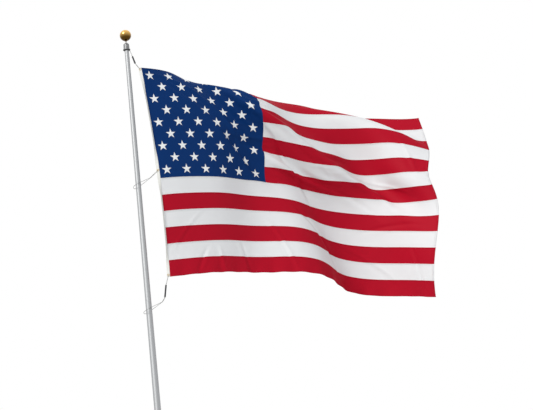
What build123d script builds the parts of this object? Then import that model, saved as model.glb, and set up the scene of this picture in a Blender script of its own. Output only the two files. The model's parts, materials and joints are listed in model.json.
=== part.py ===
from build123d import *
import os
from math import asin, atan2, cos, exp, pi, radians, sin, sqrt, tan, tanh

# Flagpole with an internal halyard, a revolving truck, a gilt ball and a flying flag.
# Millimetres. The origin is the centre of the base's underside, on the ground.
# +Z runs up the pole and +X points from the pole towards the flag's fly.

# Clearances: a seat between fixed pieces, a running fit and a free gap
SEAT_GAP = 0.2
RUNNING_GAP = 0.08
FREE_GAP = 0.5

# A cut starts this far outside the face that it goes through
CUT_PAST = 1.0

# Pole shaft: one aluminium tube, straight at the butt and then evenly tapered
POLE_HEIGHT = 10668.0
BUTT_RADIUS = 50.8
TOP_RADIUS = 24.15
SHAFT_WALL = 4.0
STRAIGHT_HEIGHT = 1500.0

# Cast base shoe that the butt stands in
SHOE_WIDTH = 254.0
SHOE_CORNER = 30.0
SHOE_PLATE = 20.0
SHOE_EDGE_FILLET = 4.0
SHOE_FLOOR = 12.0
HUB_HEIGHT = 130.0
HUB_TOP_WALL = 8.0
HUB_FOOT_WALL = 17.0
HUB_FOOT_FILLET = 14.0
BOLT_SPACING = 196.0
BOLT_HOLE_RADIUS = 11.0

# Hand hole, its welded frame and the door that closes it, on the -Y side
DOOR_BOTTOM = 980.0
DOOR_WIDTH = 52.0
DOOR_HEIGHT = 230.0
DOOR_CORNER = 12.0
DOOR_THICKNESS = 3.2
DOOR_LAP = 5.0
FRAME_WIDTH = 6.0
FRAME_PROUD = 4.0
HINGE_RADIUS = 3.5
HINGE_KNUCKLES = 5
HINGE_KNUCKLE_LENGTH = 24.0
HINGE_KNUCKLE_GAP = 0.6
LOCK_RADIUS = 9.5
LOCK_PROUD = 2.5
LOCK_DEPTH = 14.0
LOCK_DROP = 30.0
KEY_SLOT_WIDTH = 2.0

# Sleeve and thrust bearing in the mouth of the shaft
SLEEVE_LENGTH = 150.0
SLEEVE_FLANGE = 4.0
SLEEVE_FLANGE_SETBACK = 1.65
THRUST_THICKNESS = 3.0
THRUST_LIP = 5.5

# Truck: the head that revolves on a hollow stem
STEM_RADIUS = 14.5
STEM_BORE = 10.8
STEM_LENGTH = 130.0
STEM_FLANGE = 3.7
STEM_FLANGE_LIP = 4.5
RIM_HEIGHT = 8.0
RIM_LIP = 7.5
RIM_THICKNESS = 5.0
BODY_FLARE = 2.5
SHEAVE_ROOM = 4.1
HOUSING_HEIGHT = 77.0
HOUSING_WALL = 4.5
SHOULDER_FILLET = 9.0
HEAD_CAP_SETBACK = 10.0
HEAD_CAP_RISE = 9.0
CHEEK_THICKNESS = 4.0
CHEEK_GAP = 16.0
CABLE_SLOT_WIDTH = 9.0
CABLE_SLOT_HEIGHT = 26.0
CABLE_SLOT_END_GAP = 0.8
SKIRT_DEPTH = 9.0
SKIRT_SETBACK = 2.0
SKIRT_FOOT_LIP = 2.85
SKIRT_POLE_GAP = 2.0

# Halyard and the sheave that it runs over
CABLE_RADIUS = 2.4
CABLE_ANGLE = 17.8
LEADER_TOP_DROP = 2.0
CABLE_RISE_OFFSET = 8.0
SHEAVE_HEIGHT = 41.0
SHEAVE_WRAP_RADIUS = 14.0
SHEAVE_FLANGE_DEPTH = 5.0
SHEAVE_WIDTH = 10.0
SHEAVE_HUB_RADIUS = 7.0
SHEAVE_HUB_GAP = 0.5
SHEAVE_FLANGE_LIP = 1.0
AXLE_RADIUS = 4.0
AXLE_BOSS_RADIUS = 10.0
AXLE_BOSS_PROUD = 3.0
AXLE_HEAD_RADIUS = 8.0
AXLE_HEAD_THICKNESS = 4.0

# Ball and the threaded spindle that carries it
BALL_RADIUS = 63.5
BALL_SHELL = 2.0
BALL_NECK_RADIUS = 13.0
BALL_NECK_HEIGHT = 6.0
BALL_GAP = 35.0
SPINDLE_RADIUS = 6.35
SPINDLE_TAIL = 14.0
SPINDLE_INTO_BALL = 16.0
NUT_ACROSS_FLATS = 24.0
NUT_THICKNESS = 9.0

# Flag: the hoist is its height beside the pole, the fly its length
FLAG_HOIST = 2438.0
FLAG_FLY = 3658.0
HEAD_CORNER_X = 111.0
FOOT_CORNER_X = 222.0
HEAD_CORNER_DROP = 219.0
HOIST_BULGE = 44.0
HEADER_WIDTH = 34.0
HEADER_THICKNESS = 5.0
HEADER_SPANS = 8
CLOTH_THICKNESS = 4.0
CLOTH_GAP = 0.9
CLOTH_COLUMNS = 20
CLOTH_ROWS = 10
GROMMET_RADIUS = 12.0
GROMMET_HOLE = 7.0
GROMMET_FLANGE = 1.4
GROMMET_INSET = 20.0

# How the wind carries the cloth. Places along the fly and down the hoist are shares of them.
DRIFT_END = 1600.0
DRIFT_CURVE = 0.9
BELLY_DEPTH = 200.0
BELLY_START = 0.12
BELLY_TOP = 0.2
CREST_DEPTH = 260.0
CREST_PLACE = 0.41
CREST_WIDTH = 0.15
FLY_DROP = 360.0
FLY_DROP_POWER = 1.9
SEAM_LIFT = 140.0
SEAM_LIFT_TOP = 0.15

# Covered snap hooks at the head and the foot of the hoist. Each place is an (x, height) pair: the top
# ones start from the centre of the pole's top, and the others from the grommet that they serve.
HOOK_ROD_RADIUS = 2.6
HOOK_HALF_WIDTH = 9.0
HOOK_SEAT_GAP = 1.4
COVER_RADIUS = 9.0
COVER_END_FILLET = 4.0
TOP_COVER = ((57.0, -75.0), (81.0, -162.0))
LOWER_COVER = ((-35.5, -107.1), (-58.5, -242.1))
LOWER_MERGE = (-91.5, -291.1)
COVER_JOINT_GAP = 2.9
FERRULE_RADIUS = 5.0
LEADER_FERRULE_LENGTH = 16.0

# Slings: loops of coated wire rope that keep the hoist near the pole, also at the foot of its travel
HOIST_TRAVEL = 6100.0
SLING_RADIUS = 2.4
SLING_LOOP_RADIUS = 60.0
SLING_POLE_GAP = 5.5
SLING_TILT = 26.5
SLING_STRAND_GAP = 2.6
SLING_START_GAP = 1.8
SLING_CORNER = 1.35
SLING_ARC_SHARE = 0.99
SLING_SHOULDER_SHARE = 0.9
MID_MERGE = (-91.5, -79.1)
MID_FERRULE_LENGTH = 36.0

os.makedirs("parts", exist_ok=True)
SIDE_VIEW = Plane.XZ
SHOE_BORE = BUTT_RADIUS + SEAT_GAP
TAPER = (BUTT_RADIUS - TOP_RADIUS) / (POLE_HEIGHT - STRAIGHT_HEIGHT)
SLEEVE_BORE = STEM_RADIUS + RUNNING_GAP
RIM_Z = POLE_HEIGHT + RIM_HEIGHT
STEM_FLANGE_Z = POLE_HEIGHT + SLEEVE_FLANGE + THRUST_THICKNESS
SHEAVE_X = SHEAVE_WRAP_RADIUS - CABLE_RISE_OFFSET
SHEAVE_Z = POLE_HEIGHT + SHEAVE_HEIGHT
SHEAVE_GROOVE_RADIUS = SHEAVE_WRAP_RADIUS - CABLE_RADIUS - SEAT_GAP
SHEAVE_OUTER_RADIUS = SHEAVE_GROOVE_RADIUS + SHEAVE_FLANGE_DEPTH
CAVITY_RADIUS = SHEAVE_X + SHEAVE_OUTER_RADIUS + SHEAVE_ROOM
BODY_HEAD_RADIUS = CAVITY_RADIUS + HOUSING_WALL
BODY_FOOT_RADIUS = BODY_HEAD_RADIUS + BODY_FLARE
RIM_RADIUS = BODY_FOOT_RADIUS + RIM_LIP
AXLE_BOSS_REACH = BODY_HEAD_RADIUS + AXLE_BOSS_PROUD
HOUSING_TOP_Z = RIM_Z + HOUSING_HEIGHT
BALL_CENTRE_Z = HOUSING_TOP_Z + BALL_GAP + BALL_RADIUS


def shaft_radius(height):
    """Outer radius of the shaft at a height above the ground."""
    return BUTT_RADIUS - TAPER * max(0.0, height - STRAIGHT_HEIGHT)


def turned(points):
    """Solid of revolution about the pole's axis, from (radius, height) points."""
    outline = SIDE_VIEW * Polyline(*points, close=True)
    return revolve(make_face(outline), Axis.Z)


def tube(outer, inner, low, high):
    """Straight tube about the pole's axis between two heights."""
    return turned([(inner, low), (outer, low), (outer, high), (inner, high)])


def rod_between(start, end, radius):
    """Round rod from one point to another."""
    line = Line(start, end)
    return sweep((line ^ 0) * Circle(radius), path=line)


def rope_along(path, radius):
    """Round rope along a smooth path."""
    rope = sweep((path ^ 0) * Circle(radius), path=path)
    expected = pi * radius**2 * path.length
    print(f"  rope {path.length:.0f} mm long, volume {rope.volume / expected:.4f} of section times length")
    return rope


def save(name, shape):
    """Write one named piece."""
    export_step(shape, f"parts/{name}.step")
    print(name, round(shape.volume / 1000.0, 1), "cm3")


# Base shoe and shaft
def make_base_shoe():
    """Square cast plate with a tapered hub, bored for the butt down to a floor."""
    plate = extrude(RectangleRounded(SHOE_WIDTH, SHOE_WIDTH, SHOE_CORNER), SHOE_PLATE)
    plate = fillet(plate.faces().sort_by(Axis.Z)[-1].edges(), SHOE_EDGE_FILLET)
    hub = turned([
        (0, SHOE_FLOOR),
        (SHOE_BORE + HUB_FOOT_WALL, SHOE_FLOOR),
        (SHOE_BORE + HUB_FOOT_WALL, SHOE_PLATE),
        (SHOE_BORE + HUB_TOP_WALL, HUB_HEIGHT),
        (0, HUB_HEIGHT),
    ])
    shoe = plate + hub
    foot_ring = shoe.edges().filter_by(GeomType.CIRCLE).filter_by(
        lambda edge: abs(edge.radius - SHOE_BORE - HUB_FOOT_WALL) < 1)
    shoe = fillet(foot_ring.sort_by(Axis.Z)[-1], HUB_FOOT_FILLET)
    socket = Pos(0, 0, SHOE_FLOOR) * extrude(Circle(SHOE_BORE), HUB_HEIGHT)
    hole = extrude(Circle(BOLT_HOLE_RADIUS), SHOE_PLATE * 2)
    holes = GridLocations(BOLT_SPACING, BOLT_SPACING, 2, 2) * hole
    return shoe - socket - holes


def door_plate(width, height, corner, inner, outer):
    """Plate curved to the shaft, with rounded corners, between two radii on the -Y side."""
    outline = SIDE_VIEW * Pos(0, DOOR_BOTTOM + DOOR_HEIGHT / 2) * RectangleRounded(width, height, corner)
    block = extrude(outline, outer * 2)
    ring = tube(outer, inner, DOOR_BOTTOM - DOOR_HEIGHT, DOOR_BOTTOM + DOOR_HEIGHT * 2)
    return block & ring


def make_pole_shaft():
    """Tapered tube that stands on the shoe's floor, with the hand hole cut through one side."""
    shaft = turned([
        (BUTT_RADIUS, SHOE_FLOOR),
        (BUTT_RADIUS, STRAIGHT_HEIGHT),
        (TOP_RADIUS, POLE_HEIGHT),
        (TOP_RADIUS - SHAFT_WALL, POLE_HEIGHT),
        (BUTT_RADIUS - SHAFT_WALL, STRAIGHT_HEIGHT),
        (BUTT_RADIUS - SHAFT_WALL, SHOE_FLOOR),
    ])
    hand_hole = door_plate(
        DOOR_WIDTH - 2 * DOOR_LAP, DOOR_HEIGHT - 2 * DOOR_LAP, DOOR_CORNER - DOOR_LAP,
        BUTT_RADIUS - 2 * SHAFT_WALL, BUTT_RADIUS + SHAFT_WALL)
    return shaft - hand_hole


def lock_barrel(radius, start, end):
    """Cylinder through the door, square to its face, between two distances from the pole's axis."""
    barrel = Plane.XZ * extrude(Circle(radius), end - start)
    return Pos(0, -start, DOOR_BOTTOM + DOOR_HEIGHT / 2 - LOCK_DROP) * barrel


def make_door_frame():
    """Reinforcing frame round the hand hole, curved to the shaft."""
    inner = BUTT_RADIUS + SEAT_GAP
    outer = BUTT_RADIUS + FRAME_PROUD
    rim = FREE_GAP + FRAME_WIDTH
    whole = door_plate(DOOR_WIDTH + 2 * rim, DOOR_HEIGHT + 2 * rim, DOOR_CORNER + rim, inner, outer)
    opening = door_plate(
        DOOR_WIDTH + 2 * FREE_GAP, DOOR_HEIGHT + 2 * FREE_GAP, DOOR_CORNER + FREE_GAP,
        inner - SHAFT_WALL, outer + SHAFT_WALL)
    return whole - opening


def make_access_door():
    """Curved door that laps over the hand hole's edges, with a hole for its lock."""
    inner = BUTT_RADIUS + SEAT_GAP
    door = door_plate(DOOR_WIDTH, DOOR_HEIGHT, DOOR_CORNER, inner, inner + DOOR_THICKNESS)
    return door - lock_barrel(LOCK_RADIUS + SEAT_GAP, 0, BUTT_RADIUS * 2)


def make_door_lock():
    """Round lock with a raised lip and a key slot."""
    face = BUTT_RADIUS + SEAT_GAP + DOOR_THICKNESS + LOCK_PROUD
    body = lock_barrel(LOCK_RADIUS, face - LOCK_DEPTH, face)
    key_slot = Box(KEY_SLOT_WIDTH, 2 * LOCK_PROUD, LOCK_RADIUS)
    return body - Pos(0, -face, DOOR_BOTTOM + DOOR_HEIGHT / 2 - LOCK_DROP) * key_slot


def make_door_hinge():
    """Row of hinge knuckles along the frame's edge."""
    reach = BUTT_RADIUS + FRAME_PROUD + HINGE_RADIUS + SEAT_GAP
    turn = asin((DOOR_WIDTH / 2 + FREE_GAP + FRAME_WIDTH / 2) / reach)
    pitch = HINGE_KNUCKLE_LENGTH + HINGE_KNUCKLE_GAP
    middle = DOOR_BOTTOM + DOOR_HEIGHT / 2
    knuckles = []
    for index in range(HINGE_KNUCKLES):
        height = middle + (index - (HINGE_KNUCKLES - 1) / 2) * pitch
        knuckle = Cylinder(HINGE_RADIUS, HINGE_KNUCKLE_LENGTH)
        knuckles.append(Pos(-reach * sin(turn), -reach * cos(turn), height) * knuckle)
    return Compound(children=[part for knuckle in knuckles for part in knuckle.solids()])


# Mouth of the shaft
def make_truck_sleeve():
    """Liner in the shaft's mouth, with a flange that rests on its rim."""
    liner = TOP_RADIUS - SHAFT_WALL - SEAT_GAP
    flange = TOP_RADIUS - SLEEVE_FLANGE_SETBACK
    return turned([
        (SLEEVE_BORE, POLE_HEIGHT - SLEEVE_LENGTH),
        (liner, POLE_HEIGHT - SLEEVE_LENGTH),
        (liner, POLE_HEIGHT),
        (flange, POLE_HEIGHT),
        (flange, POLE_HEIGHT + SLEEVE_FLANGE),
        (SLEEVE_BORE, POLE_HEIGHT + SLEEVE_FLANGE),
    ])


def make_thrust_bearing():
    """Plain ring that the truck turns on."""
    low = POLE_HEIGHT + SLEEVE_FLANGE
    return tube(STEM_RADIUS + THRUST_LIP, SLEEVE_BORE + SEAT_GAP, low, low + THRUST_THICKNESS)


def make_truck_stem():
    """Hollow stem that turns in the sleeve, with the flange that carries the truck."""
    flange = STEM_RADIUS + STEM_FLANGE_LIP
    return turned([
        (STEM_BORE, POLE_HEIGHT - STEM_LENGTH),
        (STEM_RADIUS, POLE_HEIGHT - STEM_LENGTH),
        (STEM_RADIUS, STEM_FLANGE_Z),
        (flange, STEM_FLANGE_Z),
        (flange, STEM_FLANGE_Z + STEM_FLANGE),
        (STEM_BORE, STEM_FLANGE_Z + STEM_FLANGE),
    ])


def make_truck_housing():
    """Bell-shaped casting with a rim, a low dome, two cheeks for the axle and a cable slot."""
    rim_top = RIM_Z + RIM_THICKNESS
    shoulder = HOUSING_TOP_Z - HEAD_CAP_RISE
    bell = turned([
        (0, RIM_Z),
        (RIM_RADIUS, RIM_Z),
        (RIM_RADIUS, rim_top),
        (BODY_FOOT_RADIUS, rim_top),
        (BODY_HEAD_RADIUS, shoulder),
        (BODY_HEAD_RADIUS - HEAD_CAP_SETBACK, HOUSING_TOP_Z),
        (0, HOUSING_TOP_Z),
    ])
    upper_rings = bell.edges().filter_by(GeomType.CIRCLE).filter_by(
        lambda edge: edge.center().Z > shoulder - 1)
    bell = fillet(upper_rings, SHOULDER_FILLET / 2)
    rim_rings = bell.edges().filter_by(GeomType.CIRCLE).filter_by(
        lambda edge: abs(edge.radius - RIM_RADIUS) < 0.1)
    bell = fillet(rim_rings, RIM_THICKNESS / 3)
    ceiling = HOUSING_TOP_Z - HEAD_CAP_RISE - HOUSING_WALL
    cavity = tube(CAVITY_RADIUS, 0, RIM_Z - CUT_PAST, ceiling)
    floor = STEM_FLANGE_Z + STEM_FLANGE
    cheek_centre = (CHEEK_GAP + CHEEK_THICKNESS) / 2
    bosses = Plane.XZ * extrude(Circle(AXLE_BOSS_RADIUS), AXLE_BOSS_REACH, both=True)
    housing = bell + Pos(SHEAVE_X, 0, SHEAVE_Z) * bosses - cavity
    for side in (-1, 1):
        cheek = Pos(0, side * cheek_centre, (floor + ceiling) / 2) * Box(
            2 * CAVITY_RADIUS, CHEEK_THICKNESS, ceiling - floor)
        housing += cheek & tube(CAVITY_RADIUS, 0, floor, ceiling)
    axle_bore = Plane.XZ * extrude(Circle(AXLE_RADIUS + RUNNING_GAP), RIM_RADIUS, both=True)
    spindle_bore = extrude(Circle(SPINDLE_RADIUS + RUNNING_GAP), HOUSING_HEIGHT)
    spindle_hole = Pos(0, 0, ceiling - CUT_PAST) * spindle_bore
    return housing - Pos(SHEAVE_X, 0, SHEAVE_Z) * axle_bore - spindle_hole - cable_slot()


def cable_slot():
    """Round-ended slot that lets the cable out through the foot of the truck."""
    start = CAVITY_RADIUS - 2 * CUT_PAST
    half_width = CABLE_RADIUS / cos(radians(CABLE_ANGLE))
    reach = cable_point(RIM_Z - SKIRT_DEPTH).X + half_width + CABLE_SLOT_END_GAP
    middle = (start + reach) / 2
    plan = SlotOverall(reach - start, CABLE_SLOT_WIDTH)
    return Pos(middle, 0, RIM_Z - 2 * SKIRT_DEPTH) * extrude(plan, 2 * SKIRT_DEPTH + CABLE_SLOT_HEIGHT)


def make_truck_skirt():
    """Black cone under the truck that sheds water past the pole's rim."""
    inner_foot = TOP_RADIUS + SKIRT_POLE_GAP
    skirt = turned([
        (inner_foot, RIM_Z - SKIRT_DEPTH),
        (inner_foot + SKIRT_FOOT_LIP, RIM_Z - SKIRT_DEPTH),
        (RIM_RADIUS - SKIRT_SETBACK, RIM_Z),
        (inner_foot, RIM_Z),
    ])
    return skirt - cable_slot()


def make_halyard_sheave():
    """Grooved wheel that the halyard runs over."""
    outer = SHEAVE_OUTER_RADIUS
    wheel = Cylinder(outer, SHEAVE_WIDTH) + Cylinder(SHEAVE_HUB_RADIUS, CHEEK_GAP - 2 * SHEAVE_HUB_GAP)
    wheel -= Torus(SHEAVE_WRAP_RADIUS, CABLE_RADIUS + SEAT_GAP)
    flare = SHEAVE_WIDTH / 2 - SHEAVE_FLANGE_LIP
    throat = Polyline(
        (SHEAVE_WRAP_RADIUS, -CABLE_RADIUS),
        (outer + SHEAVE_FLANGE_LIP, -flare),
        (outer + SHEAVE_FLANGE_LIP, flare),
        (SHEAVE_WRAP_RADIUS, CABLE_RADIUS),
        close=True)
    wheel -= revolve(make_face(Plane.XZ * throat), Axis.Z)
    wheel -= Cylinder(AXLE_RADIUS + RUNNING_GAP, CHEEK_GAP)
    return Pos(SHEAVE_X, 0, SHEAVE_Z) * Rot(90, 0, 0) * wheel


def make_sheave_axle():
    """Pin across the truck, with a round head at one end and a clip at the other."""
    pin = Plane.XZ * extrude(Circle(AXLE_RADIUS), AXLE_BOSS_REACH, both=True)
    head = Plane.XZ.offset(AXLE_BOSS_REACH) * extrude(Circle(AXLE_HEAD_RADIUS), AXLE_HEAD_THICKNESS)
    head = fillet(head.faces().sort_by(Axis.Y)[0].edges(), AXLE_HEAD_THICKNESS / 2.5)
    clip = Plane.XZ.offset(-AXLE_BOSS_REACH) * extrude(Circle(AXLE_HEAD_RADIUS), -AXLE_HEAD_THICKNESS / 2)
    return Pos(SHEAVE_X, 0, SHEAVE_Z) * (pin + head + clip)


# Ball
def make_ball_spindle():
    """Threaded rod from the truck into the ball."""
    low = HOUSING_TOP_Z - SPINDLE_TAIL
    high = HOUSING_TOP_Z + BALL_GAP + SPINDLE_INTO_BALL
    rod = Pos(0, 0, low) * extrude(Circle(SPINDLE_RADIUS), high - low)
    return chamfer(rod.faces().sort_by(Axis.Z)[-1].edges(), SPINDLE_RADIUS / 6)


def make_ball_nut():
    """Hexagon nut that locks the spindle to the truck."""
    blank = extrude(RegularPolygon(NUT_ACROSS_FLATS / 2, 6, major_radius=False), NUT_THICKNESS)
    corner = NUT_ACROSS_FLATS / sqrt(3)
    bevel = NUT_THICKNESS / 6
    rounding = turned([
        (0, 0),
        (corner - 2 * bevel, 0),
        (corner, bevel),
        (corner, NUT_THICKNESS - bevel),
        (corner - 2 * bevel, NUT_THICKNESS),
        (0, NUT_THICKNESS),
    ])
    hole = extrude(Circle(SPINDLE_RADIUS + RUNNING_GAP), NUT_THICKNESS)
    return Pos(0, 0, HOUSING_TOP_Z) * ((blank & rounding) - hole)


def make_ball_finial():
    """Hollow ball with a short neck, bored for the spindle."""
    ball = Pos(0, 0, BALL_CENTRE_Z) * Sphere(BALL_RADIUS)
    neck_low = BALL_CENTRE_Z - BALL_RADIUS - BALL_NECK_HEIGHT
    neck = Pos(0, 0, neck_low) * extrude(Circle(BALL_NECK_RADIUS), BALL_RADIUS / 2)
    hollow = Pos(0, 0, BALL_CENTRE_Z) * Sphere(BALL_RADIUS - BALL_SHELL)
    bore = Pos(0, 0, neck_low) * extrude(Circle(SPINDLE_RADIUS + RUNNING_GAP), BALL_RADIUS)
    return (ball - hollow + (neck & (ball + neck - hollow))) + neck - bore


# Flag, header and grommets
def hoist_edge(share):
    """Point of the hoist edge, a share of the way from its head to its foot."""
    drop_x = FOOT_CORNER_X - HEAD_CORNER_X
    height = sqrt(FLAG_HOIST**2 - drop_x**2 - 4 * HOIST_BULGE**2)
    bulge = 4 * HOIST_BULGE * share * (1 - share)
    x = HEAD_CORNER_X + drop_x * share + bulge
    return Vector(x, 0, POLE_HEIGHT - HEAD_CORNER_DROP - height * share)


def cloth_drift(along, down):
    """How far the cloth lies behind the pole: a line away from it, less a belly and a crest near the foot."""
    line = DRIFT_END * along * (1 + DRIFT_CURVE * (1 - along))
    belly = BELLY_DEPTH * tanh(down / BELLY_TOP) * tanh(along / BELLY_START)
    crest = CREST_DEPTH * down**2 * exp(-((along - CREST_PLACE) / CREST_WIDTH)**2)
    return line - belly - crest


def cloth_height(along, down):
    """Height of a thread over its own start: it lifts at first and then falls towards the fly end."""
    return SEAM_LIFT * sqrt(along) * tanh(down / SEAM_LIFT_TOP) - FLY_DROP * along**FLY_DROP_POWER


def cloth_thread(down):
    """Points of one thread from the header to the fly end, a share of the way down. It keeps its length."""
    step = (FLAG_FLY - HEADER_WIDTH) / CLOTH_COLUMNS
    start = hoist_edge(down) + Vector(HEADER_WIDTH + CLOTH_GAP, 0, 0)
    points = [start]
    for column in range(1, CLOTH_COLUMNS + 1):
        along = column / CLOTH_COLUMNS
        y = cloth_drift(along, down)
        z = start.Z + cloth_height(along, down)
        last = points[-1]
        forward = sqrt(step**2 - (y - last.Y)**2 - (z - last.Z)**2)
        points.append(Vector(last.X + forward, y, z))
    return points


def grommet_centres():
    """Centres of the three grommets in the header, from head to foot."""
    inset = GROMMET_INSET / FLAG_HOIST
    return [hoist_edge(share) + Vector(HEADER_WIDTH / 2, 0, 0) for share in (inset, 0.5, 1 - inset)]


def make_flag_header():
    """Canvas strip sewn along the hoist, with its grommet holes."""
    shares = [index / HEADER_SPANS for index in range(HEADER_SPANS + 1)]
    outer = Spline(*[hoist_edge(share) for share in shares])
    inner = Spline(*[hoist_edge(share) + Vector(HEADER_WIDTH, 0, 0) for share in shares])
    ends = [Line(outer @ 0, inner @ 0), Line(outer @ 1, inner @ 1)]
    strip = extrude(make_face([outer, inner, *ends]), HEADER_THICKNESS / 2, dir=(0, 1, 0), both=True)
    for centre in grommet_centres():
        hole = Plane.XZ * extrude(Circle(GROMMET_HOLE + 2 * GROMMET_FLANGE), HEADER_THICKNESS, both=True)
        strip -= Pos(*centre) * hole
    return strip


def make_grommet(centre):
    """Brass eyelet: two flanges and the barrel through the header."""
    half = HEADER_THICKNESS / 2
    section = Polyline(
        (GROMMET_HOLE, -half - GROMMET_FLANGE),
        (GROMMET_RADIUS, -half - GROMMET_FLANGE),
        (GROMMET_RADIUS, -half),
        (GROMMET_HOLE + GROMMET_FLANGE, -half),
        (GROMMET_HOLE + GROMMET_FLANGE, half),
        (GROMMET_RADIUS, half),
        (GROMMET_RADIUS, half + GROMMET_FLANGE),
        (GROMMET_HOLE, half + GROMMET_FLANGE),
        close=True)
    ring = revolve(make_face(Plane.XZ * section), Axis.Z)
    return Pos(*centre) * Rot(90, 0, 0) * ring


def make_flag_cloth():
    """The flying cloth as one thin folded solid of flat facets."""
    half = Vector(0, CLOTH_THICKNESS / 2, 0)
    grid = [cloth_thread(row / CLOTH_ROWS) for row in range(CLOTH_ROWS + 1)]
    facets = []
    for row in range(CLOTH_ROWS):
        for column in range(CLOTH_COLUMNS):
            upper = grid[row][column]
            lower = grid[row + 1][column]
            lower_next = grid[row + 1][column + 1]
            upper_next = grid[row][column + 1]
            for side in (half, -half):
                facets.append((upper + side, lower + side, upper_next + side))
                facets.append((lower + side, lower_next + side, upper_next + side))
    top_edge = grid[0]
    foot_edge = grid[-1]
    hoist_side = [line[0] for line in grid]
    fly_side = [line[-1] for line in grid]
    for border in (top_edge, foot_edge, hoist_side, fly_side):
        for start, end in zip(border, border[1:]):
            facets.append((start - half, end - half, end + half, start + half))
    return Solid(Shell([Face(Wire.make_polygon(corners, close=True)) for corners in facets]))


# Snap hooks, covers and ferrules
def place(pair, start=Vector(0, 0, POLE_HEIGHT)):
    """Point an (x, height) pair away from a start, which is the centre of the pole's top if not given."""
    return start + Vector(pair[0], 0, pair[1])


def snap_cover(start, end):
    """Rubber sleeve with rounded ends over a snap hook."""
    cover = rod_between(start, end, COVER_RADIUS)
    return fillet(cover.edges().filter_by(GeomType.CIRCLE), COVER_END_FILLET)


def closed_link(carrier, eyelet):
    """Oval ring of round rod, turned across the cloth: one bend meets its carrier, one pulls on an eyelet."""
    direction = (eyelet - carrier).normalized()
    start = carrier + direction * (HOOK_ROD_RADIUS + FREE_GAP)
    end = eyelet - direction * (GROMMET_HOLE - HOOK_ROD_RADIUS - HOOK_SEAT_GAP)
    length = (end - start).length
    plane = Plane(origin=(start + end) / 2, x_dir=direction, z_dir=direction.cross(Vector(0, 1, 0)))
    outline = plane * SlotCenterToCenter(length - 2 * HOOK_HALF_WIDTH, 2 * HOOK_HALF_WIDTH).wire()
    return sweep((outline ^ 0) * Circle(HOOK_ROD_RADIUS), path=outline)


def cable_point(height):
    """Point of the cable's outer run, straight from the sheave to the top snap, at a height."""
    lean = radians(CABLE_ANGLE)
    leave_x = SHEAVE_X + SHEAVE_WRAP_RADIUS * cos(lean)
    leave_z = SHEAVE_Z + SHEAVE_WRAP_RADIUS * sin(lean)
    return Vector(leave_x + (leave_z - height) * tan(lean), 0, height)


def leader_top():
    """Where the leader starts, just under the truck's skirt."""
    return cable_point(RIM_Z - SKIRT_DEPTH - LEADER_TOP_DROP)


def leader_end():
    """Lower end of the leader, just above the top cover."""
    return cable_point(place(TOP_COVER[0]).Z + LEADER_FERRULE_LENGTH)


def make_halyard_cable():
    """Wire rope up through the stem, over the sheave and out under the truck."""
    top = leader_top()
    leave = cable_point(SHEAVE_Z + SHEAVE_WRAP_RADIUS * sin(radians(CABLE_ANGLE)))
    past = cable_point(top.Z - 2 * CABLE_RADIUS)
    rise = (SHEAVE_X - SHEAVE_WRAP_RADIUS, SHEAVE_Z)
    path = SIDE_VIEW * (
        Line((rise[0], POLE_HEIGHT - STEM_LENGTH + CABLE_RADIUS), rise)
        + CenterArc((SHEAVE_X, SHEAVE_Z), SHEAVE_WRAP_RADIUS, 180, CABLE_ANGLE - 180)
        + Line((leave.X, leave.Z), (past.X, past.Z))
    )
    rope = rope_along(path, CABLE_RADIUS)
    below = Pos(top.X, 0, top.Z - SKIRT_DEPTH) * Box(2 * SKIRT_DEPTH, 2 * SKIRT_DEPTH, 2 * SKIRT_DEPTH)
    return rope - below


def make_halyard_leader():
    """Straight wire rope from under the truck to the top snap. It is paid out as the flag comes down."""
    top = leader_top()
    run = leader_end() - top
    section = Ellipse(CABLE_RADIUS / cos(radians(CABLE_ANGLE)), CABLE_RADIUS)
    return extrude(Pos(*top) * section, run.length, dir=run.normalized())


# Slings
def sling_route(merge):
    """Teardrop path round the pole: leaves the ferrule, passes behind the shaft and comes back."""
    tilt = radians(SLING_TILT)
    far_z = merge.Z - (merge.X + shaft_radius(merge.Z)) * tan(tilt)
    far_x = -(shaft_radius(far_z - HOIST_TRAVEL) + SLING_POLE_GAP + SLING_RADIUS)
    reach = (merge.X - far_x) / cos(tilt)
    plane = Plane(origin=merge, x_dir=(-cos(tilt), 0, -sin(tilt)), z_dir=(-sin(tilt), 0, cos(tilt)))
    corner = reach - SLING_CORNER * SLING_LOOP_RADIUS
    turn = atan2(SLING_LOOP_RADIUS - SLING_STRAND_GAP, corner)
    bend = SLING_LOOP_RADIUS * SLING_ARC_SHARE
    shoulder = SLING_SHOULDER_SHARE * (SLING_CORNER - 1) * SLING_LOOP_RADIUS / tan(turn / 2)
    radii = [shoulder, bend, bend, shoulder]
    print("  sling bend radii", [round(radius) for radius in radii])
    return plane * FilletPolyline(
        (SLING_START_GAP, SLING_STRAND_GAP),
        (corner, SLING_LOOP_RADIUS),
        (reach, SLING_LOOP_RADIUS),
        (reach, -SLING_LOOP_RADIUS),
        (corner, -SLING_LOOP_RADIUS),
        (SLING_START_GAP, -SLING_STRAND_GAP),
        radius=radii)


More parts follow.
